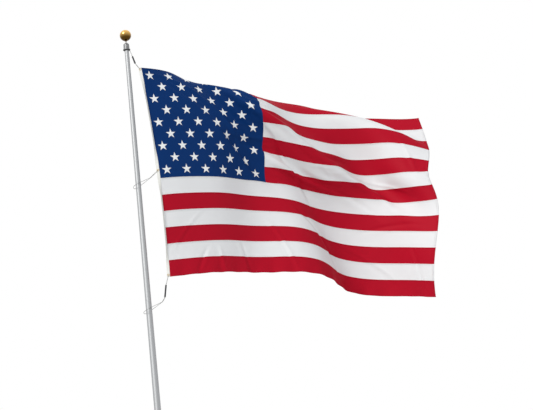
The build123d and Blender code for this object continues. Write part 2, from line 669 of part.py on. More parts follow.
def make_parts():
    """Every piece, by name."""
    head, middle, foot = grommet_centres()
    top_start = place(TOP_COVER[0])
    top_end = place(TOP_COVER[1])
    low_start = place(LOWER_COVER[0], foot)
    low_end = place(LOWER_COVER[1], foot)
    ferrule_start = low_end + (low_end - low_start).normalized() * COVER_JOINT_GAP
    ferrule_end = place(LOWER_MERGE, foot)
    mid_end = place(MID_MERGE, middle)
    mid_start = mid_end + (middle - mid_end).normalized() * MID_FERRULE_LENGTH
    leader_seat = leader_end() - Vector(0, 0, CABLE_RADIUS / 2)
    cover_seat = top_start + Vector(0, 0, 2 * FREE_GAP)
    return {
        "base_shoe": make_base_shoe(),
        "pole_shaft": make_pole_shaft(),
        "door_frame": make_door_frame(),
        "access_door": make_access_door(),
        "door_hinge": make_door_hinge(),
        "door_lock": make_door_lock(),
        "truck_sleeve": make_truck_sleeve(),
        "thrust_bearing": make_thrust_bearing(),
        "truck_stem": make_truck_stem(),
        "truck_housing": make_truck_housing(),
        "truck_skirt": make_truck_skirt(),
        "halyard_sheave": make_halyard_sheave(),
        "sheave_axle": make_sheave_axle(),
        "ball_spindle": make_ball_spindle(),
        "ball_nut": make_ball_nut(),
        "ball_finial": make_ball_finial(),
        "halyard_cable": make_halyard_cable(),
        "halyard_leader": make_halyard_leader(),
        "leader_ferrule": rod_between(leader_seat, cover_seat, FERRULE_RADIUS),
        "top_snap_cover": snap_cover(top_start, top_end),
        "top_snap_hook": closed_link(top_end, head),
        "flag_header": make_flag_header(),
        "flag_cloth": make_flag_cloth(),
        "grommet_top": make_grommet(head),
        "grommet_middle": make_grommet(middle),
        "grommet_bottom": make_grommet(foot),
        "mid_snap_link": closed_link(mid_start, middle),
        "mid_sling_ferrule": rod_between(mid_start, mid_end, FERRULE_RADIUS),
        "mid_sling": rope_along(sling_route(mid_end), SLING_RADIUS),
        "lower_snap_hook": closed_link(low_start, foot),
        "lower_snap_cover": snap_cover(low_start, low_end),
        "lower_ferrule": rod_between(ferrule_start, ferrule_end, FERRULE_RADIUS),
        "lower_sling": rope_along(sling_route(ferrule_end), SLING_RADIUS),
    }


for part_name, part_shape in make_parts().items():
    save(part_name, part_shape)
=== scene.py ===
# %% [markdown]
# # Dressing a flagpole and its flying flag
# The imported frame already holds every hard piece of the pole, each in its place and in metres.
# This lesson gives those pieces their finishes, and makes the pieces that solid modelling is
# poor at: the flag's cloth, its stars, seams and stitches, the twisted wire rope and the small
# fasteners. Nothing is moved to fit: each new piece is worked out in the frame's own coordinates.

# %% Load the frame, with a helper for one part's box
import json
import math
import bpy
import numpy as np
from mathutils import Matrix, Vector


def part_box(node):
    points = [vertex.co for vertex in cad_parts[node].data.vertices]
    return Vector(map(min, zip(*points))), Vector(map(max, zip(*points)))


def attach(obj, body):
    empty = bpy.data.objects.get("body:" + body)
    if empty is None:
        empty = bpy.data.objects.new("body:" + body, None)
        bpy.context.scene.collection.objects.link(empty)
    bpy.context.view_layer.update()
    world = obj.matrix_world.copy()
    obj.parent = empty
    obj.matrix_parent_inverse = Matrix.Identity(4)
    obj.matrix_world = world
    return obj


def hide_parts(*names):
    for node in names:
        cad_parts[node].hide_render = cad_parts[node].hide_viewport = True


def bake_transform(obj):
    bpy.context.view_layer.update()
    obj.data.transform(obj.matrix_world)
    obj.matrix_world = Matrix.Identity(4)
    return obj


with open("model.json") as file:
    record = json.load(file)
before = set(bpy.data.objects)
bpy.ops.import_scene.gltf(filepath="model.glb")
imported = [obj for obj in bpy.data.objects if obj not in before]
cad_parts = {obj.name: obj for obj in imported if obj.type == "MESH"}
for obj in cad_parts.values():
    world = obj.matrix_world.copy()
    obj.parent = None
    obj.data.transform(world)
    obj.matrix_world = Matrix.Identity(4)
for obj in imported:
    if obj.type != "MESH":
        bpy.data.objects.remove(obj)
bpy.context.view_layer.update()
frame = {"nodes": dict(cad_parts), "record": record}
nodes = frame["nodes"]
scene = bpy.context.scene

# %% [markdown]
# ## The camera
# The picture looks up at the flag from below, with the camera a little tilted. From how far away
# it was taken isn't known, so 22 m and eye height are assumed. A least-squares fit outside this
# file then found the angles and the lens, so that the pole's line and the length of the hoist edge
# fall where the photograph shows them. A camera's axes can be given as angles, but rolled cameras
# are easier to get right as three unit arrows: where it looks, its right and its up. The arrows
# become the columns of its matrix, and Blender's cameras look along their own -Z.

# %% Camera
EYE = (1.45, -22.0, 1.6)
YAW, PITCH, ROLL = np.radians([-0.2206, 17.895, 6.017])
LENS_MM = 144.17
SENSOR_MM = 36.0
ahead = np.array([math.sin(YAW) * math.cos(PITCH), math.cos(YAW) * math.cos(PITCH), math.sin(PITCH)])
level_right = np.array([math.cos(YAW), -math.sin(YAW), 0.0])
level_up = np.cross(level_right, ahead)
right = math.cos(ROLL) * level_right - math.sin(ROLL) * level_up
up = math.cos(ROLL) * level_up + math.sin(ROLL) * level_right
lens = bpy.data.cameras.new("photo_camera")
lens.lens, lens.sensor_width, lens.sensor_fit = LENS_MM, SENSOR_MM, "HORIZONTAL"
lens.clip_end = 500.0
camera = bpy.data.objects.new("photo_camera", lens)
scene.collection.objects.link(camera)
camera.matrix_world = Matrix([[right[i], up[i], -ahead[i], EYE[i]] for i in range(3)] + [[0, 0, 0, 1]])
scene.camera = camera
scene.view_settings.view_transform = "Standard"
print("camera looks up", round(math.degrees(PITCH), 1), "degrees")

# %% [markdown]
# ## Nodes by the handful
# A material is a small network. Writing each node out takes five lines, so two helpers do it:
# one adds a node and fills its inputs with numbers, colours or other nodes' outputs, and one
# starts a Principled material with constants set straight on the shader's sockets.

# %% Helpers for materials
def add(tree, kind, inputs=None, **settings):
    """Add one node. Inputs are named or numbered sockets, each given a value or another node's output."""
    made = tree.nodes.new("ShaderNode" + kind)
    for key, value in settings.items():
        setattr(made, key, value)
    for key, value in (inputs or {}).items():
        if isinstance(value, bpy.types.NodeSocket):
            tree.links.new(value, made.inputs[key])
        else:
            made.inputs[key].default_value = value
    return made


def rgb(red, green, blue):
    """A colour as four numbers, the last for full cover."""
    return (red, green, blue, 1.0)


def finish(name, colour, roughness, metallic=0.0, **sockets):
    """A Principled material. Returns the material, its tree and its shader."""
    material = bpy.data.materials.new(name)
    material.use_nodes = True
    tree = material.node_tree
    shader = tree.nodes["Principled BSDF"]
    values = {"Base Color": rgb(*colour), "Roughness": roughness, "Metallic": metallic}
    for key, value in sockets.items():
        values[key.replace("_", " ").title().replace("Ior", "IOR")] = value
    for key, value in values.items():
        shader.inputs[key].default_value = value
    material.diffuse_color = rgb(*colour)
    return material, tree, shader


def stretched(tree, scale=(1, 1, 1), source="Object"):
    """Coordinates of the piece itself, stretched by three scales, for a pattern to read."""
    coordinates = add(tree, "TexCoord")
    return add(tree, "Mapping", {"Vector": coordinates.outputs[source], "Scale": scale}).outputs[0]


def noise(tree, scale, detail=3.0, source="Object"):
    """Cloudy noise from 0 to 1, one cloud to each unit of the stretched coordinates."""
    where = stretched(tree, scale, source)
    return add(tree, "TexNoise", {"Vector": where, "Scale": 1.0, "Detail": detail}).outputs[0]


def waves(tree, direction, scale, stretch=(1, 1, 1), source="Object", distortion=0.0):
    """Even waves from 0 to 1 in one direction: X, Y, Z or DIAGONAL."""
    inputs = {"Vector": stretched(tree, stretch, source), "Scale": scale, "Distortion": distortion}
    return add(tree, "TexWave", inputs, bands_direction=direction).outputs["Fac"]


def weave(tree, directions, scale, source):
    """Plain weave: waves in one direction times waves in the other."""
    first, second = [waves(tree, direction, scale, source=source) for direction in directions]
    return add(tree, "Math", {0: first, 1: second}, operation="MULTIPLY").outputs[0]


def between(tree, value, low, high):
    """Move a 0 to 1 value to the range from low to high."""
    return add(tree, "MapRange", {"Value": value, "To Min": low, "To Max": high}).outputs[0]


def two_colours(tree, factor, first, second):
    """Mix two colours by a factor."""
    return add(tree, "Mix", {0: factor, 6: first, 7: second}, data_type="RGBA").outputs[2]


def tinted(tree, shader, factor, colour, low, high):
    """Let a pattern move the base colour between a low and a high share of one colour."""
    dark, light = [rgb(*(share * part for part in colour)) for share in (low, high)]
    tree.links.new(two_colours(tree, factor, dark, light), shader.inputs["Base Color"])


def bumped(tree, shader, height, distance, strength):
    """Let a height pattern tilt the light on the surface, with the height in metres."""
    made = add(tree, "Bump", {"Height": height, "Distance": distance, "Strength": strength})
    tree.links.new(made.outputs[0], shader.inputs["Normal"])


print("helpers ready")

# %% [markdown]
# ## Light and ground
# The object stood in open daylight against a plain white ground. A world that shows white to
# the camera, to reflections and through glass, but lights the object with a softer and slightly
# cool level, keeps colours from washing out. One broad sun from the front left and above shapes
# the folds. The floor is wide and pale, and fades to white far away so that no edge shows behind
# the pole.

# %% World
world = bpy.data.worlds.new("studio")
scene.world = world
world.use_nodes = True
sky = world.node_tree
sky.nodes.clear()
rays = add(sky, "LightPath").outputs
seen = add(sky, "Math", {0: rays["Is Camera Ray"], 1: rays["Is Glossy Ray"]}, operation="ADD")
seen = add(sky, "Math", {0: seen.outputs[0], 1: rays["Is Transmission Ray"]}, operation="ADD", use_clamp=True)
ambient = add(sky, "Background", {"Color": rgb(0.93, 0.97, 1.0), "Strength": 0.68})
white = add(sky, "Background", {"Color": rgb(1, 1, 1), "Strength": 1.0})
shown = add(sky, "MixShader", {0: seen.outputs[0], 1: ambient.outputs[0], 2: white.outputs[0]})
add(sky, "OutputWorld", {0: shown.outputs[0]})
print("world of", len(sky.nodes), "nodes")

# %% Sun
SUN_FROM = np.array([-0.50, -0.62, 0.60])
sun = bpy.data.lights.new("sun", "SUN")
sun.energy, sun.angle, sun.color = 1.98, math.radians(14), (1.0, 0.985, 0.96)
sun_object = bpy.data.objects.new("sun", sun)
scene.collection.objects.link(sun_object)
across = np.cross([0, 0, 1], SUN_FROM)
sun_axes = [across, np.cross(SUN_FROM, across), SUN_FROM]
sun_axes = np.array([axis / np.linalg.norm(axis) for axis in sun_axes]).T
sun_object.matrix_world = Matrix(sun_axes.tolist()).to_4x4()
print("sun strength", sun.energy)

# %% Floor
FLOOR_REACH, FADE_REACH = 400.0, 60.0
floor_finish, tree, shader = finish("pale_floor", (0.80, 0.80, 0.79), 0.9)
distance = add(tree, "VectorMath", {0: stretched(tree, (1, 1, 0))}, operation="LENGTH").outputs[1]
away = add(tree, "Math", {0: distance, 1: FADE_REACH}, operation="DIVIDE")
fade = add(tree, "Math", {0: away.outputs[0], 1: 4.0}, operation="POWER", use_clamp=True)
glow = add(tree, "Emission", {"Color": rgb(1, 1, 1), "Strength": 1.0})
far_white = add(tree, "MixShader", {0: fade.outputs[0], 1: shader.outputs[0], 2: glow.outputs[0]})
tree.links.new(far_white.outputs[0], tree.nodes["Material Output"].inputs[0])
floor_mesh = bpy.data.meshes.new("floor")
corners = ((-1, -1), (1, -1), (1, 1), (-1, 1))
floor_mesh.from_pydata([(x * FLOOR_REACH, y * FLOOR_REACH, -0.0005) for x, y in corners], [], [(0, 1, 2, 3)])
floor_mesh.materials.append(floor_finish)
floor = bpy.data.objects.new("floor", floor_mesh)
scene.collection.objects.link(floor)
print("floor laid")

# %% [markdown]
# ## Grids of points become pieces
# Every new piece here is a surface with two parameters. Worked out with numpy, it is one array
# of points, and its quads are the same little square repeated, so both come out of a few array
# sums. A helper puts them into a mesh, gives it its finishes and says which body carries it.

# %% Helpers for pieces
def quads_of(rows, columns, wrap_rows=False, wrap_columns=False):
    """Corner numbers of a grid's quads. Their front is row step x column step. A wrapped side joins up."""
    steps = np.arange(rows - (not wrap_rows)), np.arange(columns - (not wrap_columns))
    i, j = np.meshgrid(*steps, indexing="ij")
    i2, j2 = (i + 1) % rows, (j + 1) % columns
    corners = [i * columns + j, i2 * columns + j, i2 * columns + j2, i * columns + j2]
    return np.stack(corners, -1).reshape(-1, 4)


def tube_faces(tubes, rows, sides, capped, wrap_rows=False):
    """Faces of several tubes, one after another: quads round and along, and a cap on each end."""
    quads = quads_of(rows, sides, wrap_rows, wrap_columns=True)[:, ::-1]
    faces = []
    for tube in range(tubes):
        first = tube * rows * sides
        last = first + (rows - 1) * sides
        faces += (quads + first).tolist()
        if capped:
            faces += [list(range(first, first + sides))[::-1], list(range(last, last + sides))]
    return faces


def make_piece(name, points, faces, body, finishes, finish_of=None, uv=None, sharp=None):
    """One finished piece from points and faces: smooth shading, UV in metres, finishes and body."""
    mesh = bpy.data.meshes.new(name)
    points = np.asarray(points, float).reshape(-1, 3)
    mesh.from_pydata(points.tolist(), [], [list(map(int, face)) for face in faces])
    mesh.polygons.foreach_set("use_smooth", np.ones(len(mesh.polygons), bool))
    for material in finishes:
        mesh.materials.append(material)
    if finish_of is not None:
        mesh.polygons.foreach_set("material_index", np.asarray(finish_of, np.int32))
    if uv is not None:
        corners = np.empty(len(mesh.loops), np.int32)
        mesh.loops.foreach_get("vertex_index", corners)
        layer = mesh.uv_layers.new(name="metres")
        layer.data.foreach_set("uv", np.asarray(uv, np.float32).reshape(-1, 2)[corners].ravel())
    if sharp is not None:
        mesh.set_sharp_from_angle(angle=math.radians(sharp))
    mesh.update()
    made = bpy.data.objects.new(name, mesh)
    scene.collection.objects.link(made)
    if body:
        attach(made, body)
    print(name, "has", len(mesh.polygons), "faces")
    return made


def unit(vectors):
    """The same directions with length one."""
    return vectors / np.linalg.norm(vectors, axis=-1, keepdims=True)


def ease(value):
    """Smooth step from 0 to 1."""
    value = np.clip(value, 0.0, 1.0)
    return value * value * (3.0 - 2.0 * value)


print("piece helpers ready")

# %% [markdown]
# ## The flag's flat cut
# The flag is sewn from nylon: thirteen stripes, and a blue canton seven stripes deep. Its hoist
# edge is held in a canvas header. All later shapes use the flat cloth's own two lengths, in
# metres: along from the header to the fly end, and down from the head to the foot.

# %% The cut
HOIST = 2.438
FLY = 3.658
HEADER_WIDTH = 0.034
TUCK = 0.006
STRIPES = 13
STRIPE = HOIST / STRIPES
CLOTH_LENGTH = FLY - HEADER_WIDTH
CANTON_DEPTH = 7 * STRIPE
CANTON_LENGTH = 0.6 * HOIST - HEADER_WIDTH
HEAD_CORNER = (0.111, 10.449)
FOOT_CORNER_X = 0.222
HOIST_BULGE = 0.044


def hoist_line(down):
    """x and z of the hoist edge: a straight line from head to foot with a shallow parabola of sag."""
    lean = FOOT_CORNER_X - HEAD_CORNER[0]
    height = math.sqrt(HOIST**2 - lean**2 - 4 * HOIST_BULGE**2)
    x = HEAD_CORNER[0] + lean * down + 4 * HOIST_BULGE * down * (1 - down)
    return x, HEAD_CORNER[1] - height * down


HEADER_TURN = math.radians(66)
HELD_FLAT, TURNED_AFTER = 0.03, 0.30
GROMMET_INSET = 0.020
GROMMET_SHARES = np.array([GROMMET_INSET / HOIST, 0.5, 1 - GROMMET_INSET / HOIST])


def on_header(down, across):
    """Points across the header's middle plane: turned about its own middle line, but flat at each grommet."""
    down, across = np.broadcast_arrays(np.asarray(down, float), np.asarray(across, float))
    nearest = np.abs(down[..., None] - GROMMET_SHARES).min(axis=-1) * HOIST
    turn = HEADER_TURN * ease((nearest - HELD_FLAT) / TURNED_AFTER)
    x, z = hoist_line(down)
    return np.stack([x + HEADER_WIDTH / 2 + across * np.cos(turn), across * np.sin(turn), z], -1)


print("cloth", round(CLOTH_LENGTH, 3), "by", HOIST, "m, canton", round(CANTON_LENGTH, 3), "m long")

# %% [markdown]
# ## How the wind carries the cloth
# A cloth simulation would find some flying shape, but not the one in the photograph. So the
# shape is worked out: for each point of the cloth, how far it lies behind the pole and how much
# it has risen over its own thread's start. A broad part leans the cloth away from the pole, and a
# few soft ridges run down and across it, each a bell curve around a slanting line. Most of these
# numbers were found by a least-squares fit outside this file, so that seams, stars and edges lie
# where the photograph shows them. The head edge rolls back, and past one long slanting fold the
# upper fly corner stands upright again.

# %% Broad shape, ridges and corner
AWAY = (2.150, -0.482, -0.108, -0.865, -0.924, 1.058, -0.014)
LIFT = (0.052, -0.489, 0.068, -0.526, 0.739, -0.655, 0.618)
RIDGES = (  # place at the head, place at the foot, width, starts, ends, away, lift
    (0.488, 0.767, 0.243, 0.469, 1.296, 0.796, -0.015),
    (0.548, 0.630, 0.123, 0.087, 0.465, 0.207, -0.155),
    (0.358, 0.332, 0.141, 0.274, 1.088, 0.287, -0.001),
    (0.644, 1.005, 0.114, 0.205, 0.517, 0.554, -0.041),
    (0.144, 0.073, 0.212, 0.192, 0.947, 0.196, -0.101),
    (0.964, 1.100, 0.148, 0.563, 1.001, -0.039, -0.080),
    (0.392, 0.481, 0.082, -0.397, 0.222, -0.104, -0.100),
)
CREASES = (  # place at the head, place at the foot, width, starts, ends, away
    (0.032, 0.642, 0.026, 0.25, 0.62, -0.036),
    (0.066, 0.676, 0.030, 0.27, 0.62, 0.020),
    (0.003, 0.583, 0.020, 0.18, 0.48, -0.013),
    (0.249, 1.254, 0.035, 0.16, 0.70, -0.034),
    (0.330, 0.690, 0.035, 0.38, 1.10, 0.010),
    (0.164, 0.944, 0.042, 0.00, 0.50, 0.085),
    (0.100, 0.880, 0.040, 0.05, 0.45, 0.045),
)
SOFT_EDGE, FIRM_EDGE, HELD_NEAR = 0.07, 0.1, 0.15
ROLL_DEPTH, ROLL_START, ROLL_END, ROLL_TURN, ROLL_RAISE = 0.054, 0.02, 0.385, 1.8, 0.085
ROLL_FADE_IN, ROLL_FADE_OUT, ROLL_RAISE_DEPTH = 0.24, 0.09, 0.10
FOLD_START, FOLD_DROP = 0.50, 0.235
CORNER_UPRIGHT, CORNER_RISE = 1.303, 0.528
STEP_BACK, STEP_DOWN, STEP_WIDTH = 0.105, 0.113, 0.077


def wind_shape(along, down):
    """Distance behind the pole and rise: broad terms, bells on slanting lines, a rolled edge, a corner."""
    near = 1 - np.exp(-along / 0.25)
    belly = np.tanh(down / HELD_NEAR) * np.tanh(along / HELD_NEAR)
    broad = (along, along**2, belly, down * along, near * down, near * down**2, down**2 * along)
    away = sum(size * term for size, term in zip(AWAY, broad))
    lift = sum(size * term for size, term in zip(LIFT, broad))
    for head, foot, width, start, end, back, rise in RIDGES:
        window = 1 / (1 + np.exp((start - down) / SOFT_EDGE)) / (1 + np.exp((down - end) / SOFT_EDGE))
        bell = np.exp(-((along - head - (foot - head) * down) / width)**2)
        bell = bell * window * np.tanh(along / HELD_NEAR)
        away, lift = away + back * bell, lift + rise * bell
    for head, foot, width, start, end, back in CREASES:
        window = ease((down - start) / FIRM_EDGE) * ease((end - down) / FIRM_EDGE)
        away = away + back * window * np.exp(-((along - head - (foot - head) * down) / width)**2)
    rolled = ease((along - ROLL_START) / ROLL_FADE_IN) * ease((ROLL_END - along) / ROLL_FADE_OUT)
    strip = rolled * np.clip(ROLL_DEPTH * rolled - down, 0, 1) * HOIST
    away, lift = away + strip * math.sin(ROLL_TURN), lift - strip * (1 - math.cos(ROLL_TURN))
    lift = lift + ROLL_RAISE * rolled * np.exp(-(down / ROLL_RAISE_DEPTH)**2)
    past = np.clip((along - FOLD_START) / (1 - FOLD_START), 0, 1)
    above = np.clip(FOLD_DROP * past**2 - down, 0, 1)
    away = away - CORNER_UPRIGHT * above + STEP_BACK * ease(above / STEP_WIDTH)
    lift = lift + CORNER_RISE * above - STEP_DOWN * ease(above / STEP_WIDTH)
    return away, lift


print("ridges", len(RIDGES), "creases", len(CREASES))

# %% [markdown]
# ## Threads that keep nearly their length
# Nylon hardly stretches, so a believable flag is one whose threads are nearly as long as they
# were cut. Along the fly that can be worked out directly: each step of a thread has a fixed
# length, and what it doesn't use going back or up, it goes forward. Down the hoist the threads
# are evened out by many small corrections, the way a cloth solver does it, but without time,
# wind or gravity: each round moves the two ends of every short thread towards the right distance.
# A pull back to the worked-out shape keeps the folds, so a few threads stay short or long by up
# to a sixth. The printed shares show the least and the greatest.

# %% Helpers for the cloth
def spline_matrix(knots, places):
    """Matrix from values at evenly spaced knots to a natural cubic spline's values at places from 0 to 1."""
    bends = np.eye(knots)
    second = np.zeros((knots, knots))
    inner = np.arange(1, knots - 1)
    for offset, weight, change in ((-1, 1 / 6, 1), (0, 4 / 6, -2), (1, 1 / 6, 1)):
        bends[inner, inner + offset] = weight
        second[inner, inner + offset] = change
    second = np.linalg.solve(bends, second)
    spot = np.asarray(places, float) * (knots - 1)
    left = np.clip(spot.astype(int), 0, knots - 2)
    share = spot - left
    row = np.arange(len(spot))
    values, curves = np.zeros((len(spot), knots)), np.zeros((len(spot), knots))
    values[row, left], values[row, left + 1] = 1 - share, share
    curves[row, left], curves[row, left + 1] = ((1 - share)**3 - 1 + share) / 6, (share**3 - share) / 6
    return values + curves @ second


def even_out(points, goal, rounds, hold, bend, steps):
    """Move the points until neighbours are one step apart: pairs share each correction half and half."""
    points = points.copy()
    pinned = points[0].copy()
    skew = math.hypot(*steps)
    for _ in range(rounds):
        for axis, step in enumerate(steps):
            lines = points if axis == 0 else points.transpose(1, 0, 2)
            for first in (0, 1):
                start, end = lines[first:-1:2], lines[first + 1::2]
                gap = end - start
                change = 0.5 * (1 - step / np.linalg.norm(gap, axis=-1, keepdims=True)) * gap
                start += change
                end -= change
        for near, far in ((slice(0, -1), slice(1, None)), (slice(1, None), slice(0, -1))):
            gap = points[1:, far] - points[:-1, near]
            change = 0.1 * (1 - skew / np.linalg.norm(gap, axis=-1, keepdims=True)) * gap
            points[:-1, near] += change
            points[1:, far] -= change
        smooth = points.copy()
        smooth[1:-1] += 0.25 * bend * (points[2:] + points[:-2] - 2 * points[1:-1])
        smooth[:, 1:-1] += 0.25 * bend * (points[:, 2:] + points[:, :-2] - 2 * points[:, 1:-1])
        points = smooth + hold * (goal - smooth)
        points[0] = pinned
    return points


def stretch_of(points, steps):
    """Least and greatest length of the short threads, as shares of their cut length."""
    spans = [np.linalg.norm(np.diff(points, axis=axis), axis=-1) / step for axis, step in enumerate(steps)]
    return [round(float(v), 3) for span in spans for v in (span.min(), span.max())]


print("cloth helpers ready")

# %% Work out the flying cloth
COARSE = (118, 79)
FINE = (234, 157)
LEAST_FORWARD = 0.15


def laid_threads(columns, rows):
    """Start shape: each thread keeps its length, going forward by what back and up leave of each step."""
    along, down = np.meshgrid(np.linspace(0, 1, columns), np.linspace(0, 1, rows), indexing="ij")
    away, lift = wind_shape(along, down)
    start = on_header(down[0], HEADER_WIDTH / 2)
    step = CLOTH_LENGTH / (columns - 1)
    spent = np.diff(away, axis=0)**2 + np.diff(lift, axis=0)**2
    forward = np.sqrt(np.clip(step**2 - spent, (LEAST_FORWARD * step)**2, None))
    x = start[:, 0] + np.concatenate([np.zeros((1, rows)), np.cumsum(forward, axis=0)])
    return np.stack([x, start[:, 1] * np.exp(-along / 0.1) + away, start[:, 2] + lift], -1)


def steps_of(shape):
    """Length of one short thread along and down on a grid."""
    return CLOTH_LENGTH / (shape[0] - 1), HOIST / (shape[1] - 1)


laid = laid_threads(*COARSE)
cloth = even_out(laid, laid, 300, hold=0.004, bend=0.15, steps=steps_of(COARSE))
finer = [spline_matrix(coarse, np.linspace(0, 1, fine)) for coarse, fine in zip(COARSE, FINE)]
cloth = np.einsum("ai,ijk,bj->abk", finer[0], cloth, finer[1])
cloth = even_out(cloth, cloth, 60, hold=0.01, bend=0.10, steps=steps_of(FINE))
print("least and greatest share of the cut length, along and down:", stretch_of(cloth, steps_of(FINE)))

# %% Small wrinkles
WRINKLES = (  # metres along, metres down, half length, width, turn in degrees, height
    (0.55, 0.38, 0.42, 0.020, 38, -0.010), (0.86, 0.52, 0.50, 0.024, 47, 0.012),
    (1.05, 0.92, 0.40, 0.018, 50, -0.009), (0.40, 0.16, 0.34, 0.016, 24, 0.007),
    (1.25, 0.30, 0.30, 0.020, 33, -0.010), (1.62, 0.80, 0.36, 0.020, 58, 0.011),
    (1.80, 1.12, 0.40, 0.022, 55, -0.012), (2.10, 0.92, 0.30, 0.018, 40, 0.008),
    (2.45, 1.30, 0.44, 0.024, 22, -0.011), (2.85, 1.05, 0.40, 0.020, 12, 0.009),
    (3.05, 1.62, 0.36, 0.022, -8, -0.008), (2.70, 2.02, 0.42, 0.022, 26, 0.010),
    (2.05, 1.88, 0.46, 0.024, 48, -0.011), (1.50, 2.10, 0.30, 0.020, 66, 0.010),
    (1.00, 2.26, 0.17, 0.022, 78, -0.007), (0.66, 2.30, 0.15, 0.024, 84, 0.008),
    (0.40, 2.28, 0.16, 0.020, -62, -0.007), (0.24, 1.92, 0.30, 0.018, -48, 0.004),
    (0.32, 0.66, 0.30, 0.016, 66, 0.006), (0.22, 1.24, 0.26, 0.014, 4, -0.005),
    (3.38, 0.70, 0.24, 0.020, 62, 0.009), (3.40, 2.10, 0.26, 0.020, 70, -0.009),
)


def wrinkled(along, down):
    """Height out of the cloth: for each wrinkle, a narrow bell across its line that dies away along it."""
    height = np.zeros_like(along)
    for place, drop, reach, width, turn, size in WRINKLES:
        lean = math.radians(turn)
        run = (along - place) * math.cos(lean) + (down - drop) * math.sin(lean)
        off = (down - drop) * math.cos(lean) - (along - place) * math.sin(lean) - 0.25 * run**2
        height += size * np.exp(-(off / width)**2 - (run / reach)**4)
        height -= 0.45 * size * np.exp(-((off - 2.1 * width) / (1.4 * width))**2 - (run / reach)**4)
    ripple = 0.006 * np.sin(27 * along + 3 * down) * np.exp(-(HOIST - down) / 0.10)
    return (height + ripple) * np.tanh(along / 0.12)


print("wrinkles", len(WRINKLES))

# %% A cloth to place things on
CANTON_COLUMNS, STRIPE_COLUMNS, STRIPE_ROWS = 110, 150, 14


def normals_of(points):
    """Unit direction out of the cloth towards the photograph's side, from the slopes both ways."""
    return unit(np.cross(np.gradient(points, axis=1), np.gradient(points, axis=0)))


along = np.concatenate([np.linspace(0, CANTON_LENGTH, CANTON_COLUMNS + 1),
                        np.linspace(CANTON_LENGTH, CLOTH_LENGTH, STRIPE_COLUMNS + 1)[1:]])
down = np.linspace(0, HOIST, STRIPES * STRIPE_ROWS + 1)
sheet = np.einsum("ai,ijk,bj->abk", spline_matrix(FINE[0], along / CLOTH_LENGTH), cloth,
                  spline_matrix(FINE[1], down / HOIST))
facing = -np.sign(normals_of(sheet)[:, :, 1].mean())
sheet += wrinkled(*np.meshgrid(along, down, indexing="ij"))[..., None] * facing * normals_of(sheet)
sheet_normals = facing * normals_of(sheet)


def on_cloth(place, drop, height):
    """Points on the mesh at metres along and down, raised out of it: shares of the quad's corners."""
    place, drop, height = np.broadcast_arrays(place, drop, height)
    i = np.clip(np.searchsorted(along, place, side="right") - 1, 0, len(along) - 2)
    j = np.clip(np.searchsorted(down, drop, side="right") - 1, 0, len(down) - 2)
    u = ((place - along[i]) / (along[i + 1] - along[i]))[..., None]
    v = ((drop - down[j]) / (down[j + 1] - down[j]))[..., None]
    corners = (((1 - u) * (1 - v), i, j), (u * (1 - v), i + 1, j),
               ((1 - u) * v, i, j + 1), (u * v, i + 1, j + 1))
    spot, out = [sum(share * field[row, column] for share, row, column in corners)
                 for field in (sheet, sheet_normals)]
    return spot + unit(out) * height[..., None]


def cloth_colour(place, drop):
    """Which of the nylons lies at a place: 0 red, 1 white, 2 blue."""
    stripe = np.clip((drop / STRIPE + 1e-6).astype(int), 0, STRIPES - 1)
    return np.where((place < CANTON_LENGTH + 1e-6) & (drop < CANTON_DEPTH - 1e-6), 2, stripe % 2)


print("the cloth's normals lean", round(float(sheet_normals[:, :, 1].mean()), 2), "towards the camera")

# %% [markdown]
# ## Nylon
# Flag nylon is a thin, dense plain weave with a soft shine, and daylight comes through it a
# little, so folds glow where one would expect them dark. The weave is two crossed waves on the
# cloth's own UV, and a Translucent shader mixed in lets light from behind through. Noise
# stretched along the seams draws the small puckers that sewing leaves.

# %% Nylon in three colours
LIGHT_THROUGH = 0.22


def nylon(name, colour):
    """Dyed nylon: fine weave and puckers by the seams as bump, and a share of light let through."""
    material, tree, shader = finish(name, colour, 0.62, specular_ior_level=0.12)
    drop = add(tree, "SeparateXYZ", {0: stretched(tree, source="UV")}).outputs[1]
    from_seam = add(tree, "Math", {0: drop, 1: STRIPE / 2}, operation="PINGPONG")
    near_seam = add(tree, "MapRange", {"Value": from_seam.outputs[0], "From Min": 0.0, "From Max": STRIPE / 3,
                                       "To Min": 1.0, "To Max": 0.15}, interpolation_type="SMOOTHSTEP")
    puckers = noise(tree, (38, 7, 1), 2.0, "UV")
    height = add(tree, "Math", {0: puckers, 1: near_seam.outputs[0]}, operation="MULTIPLY")
    height = add(tree, "Math", {0: weave(tree, "XY", 500.0, "UV"), 1: 0.03, 2: height.outputs[0]},
                 operation="MULTIPLY_ADD")
    bumped(tree, shader, height.outputs[0], 0.004, 0.5)
    tinted(tree, shader, noise(tree, (2.2, 2.2, 1), 4.0, "UV"), colour, 0.93, 1.05)
    through = add(tree, "BsdfTranslucent", {"Color": rgb(*colour)})
    mixed = add(tree, "MixShader", {0: LIGHT_THROUGH, 1: shader.outputs[0], 2: through.outputs[0]})
    tree.links.new(mixed.outputs[0], tree.nodes["Material Output"].inputs[0])
    return material


red_nylon = nylon("red_nylon", (0.50, 0.003, 0.021))
white_nylon = nylon("white_nylon", (0.85, 0.85, 0.86))
blue_nylon = nylon("blue_nylon", (0.0006, 0.034, 0.165))
print("three nylons")

# %% [markdown]
# ## The flag
# The cloth is one closed skin: the sheet of points moved half its thickness out to each side,
# and its four edges joined. Each quad takes its colour from where it lies in the cut. The first
# column is tucked into the header, as the real cloth is before it is sewn.

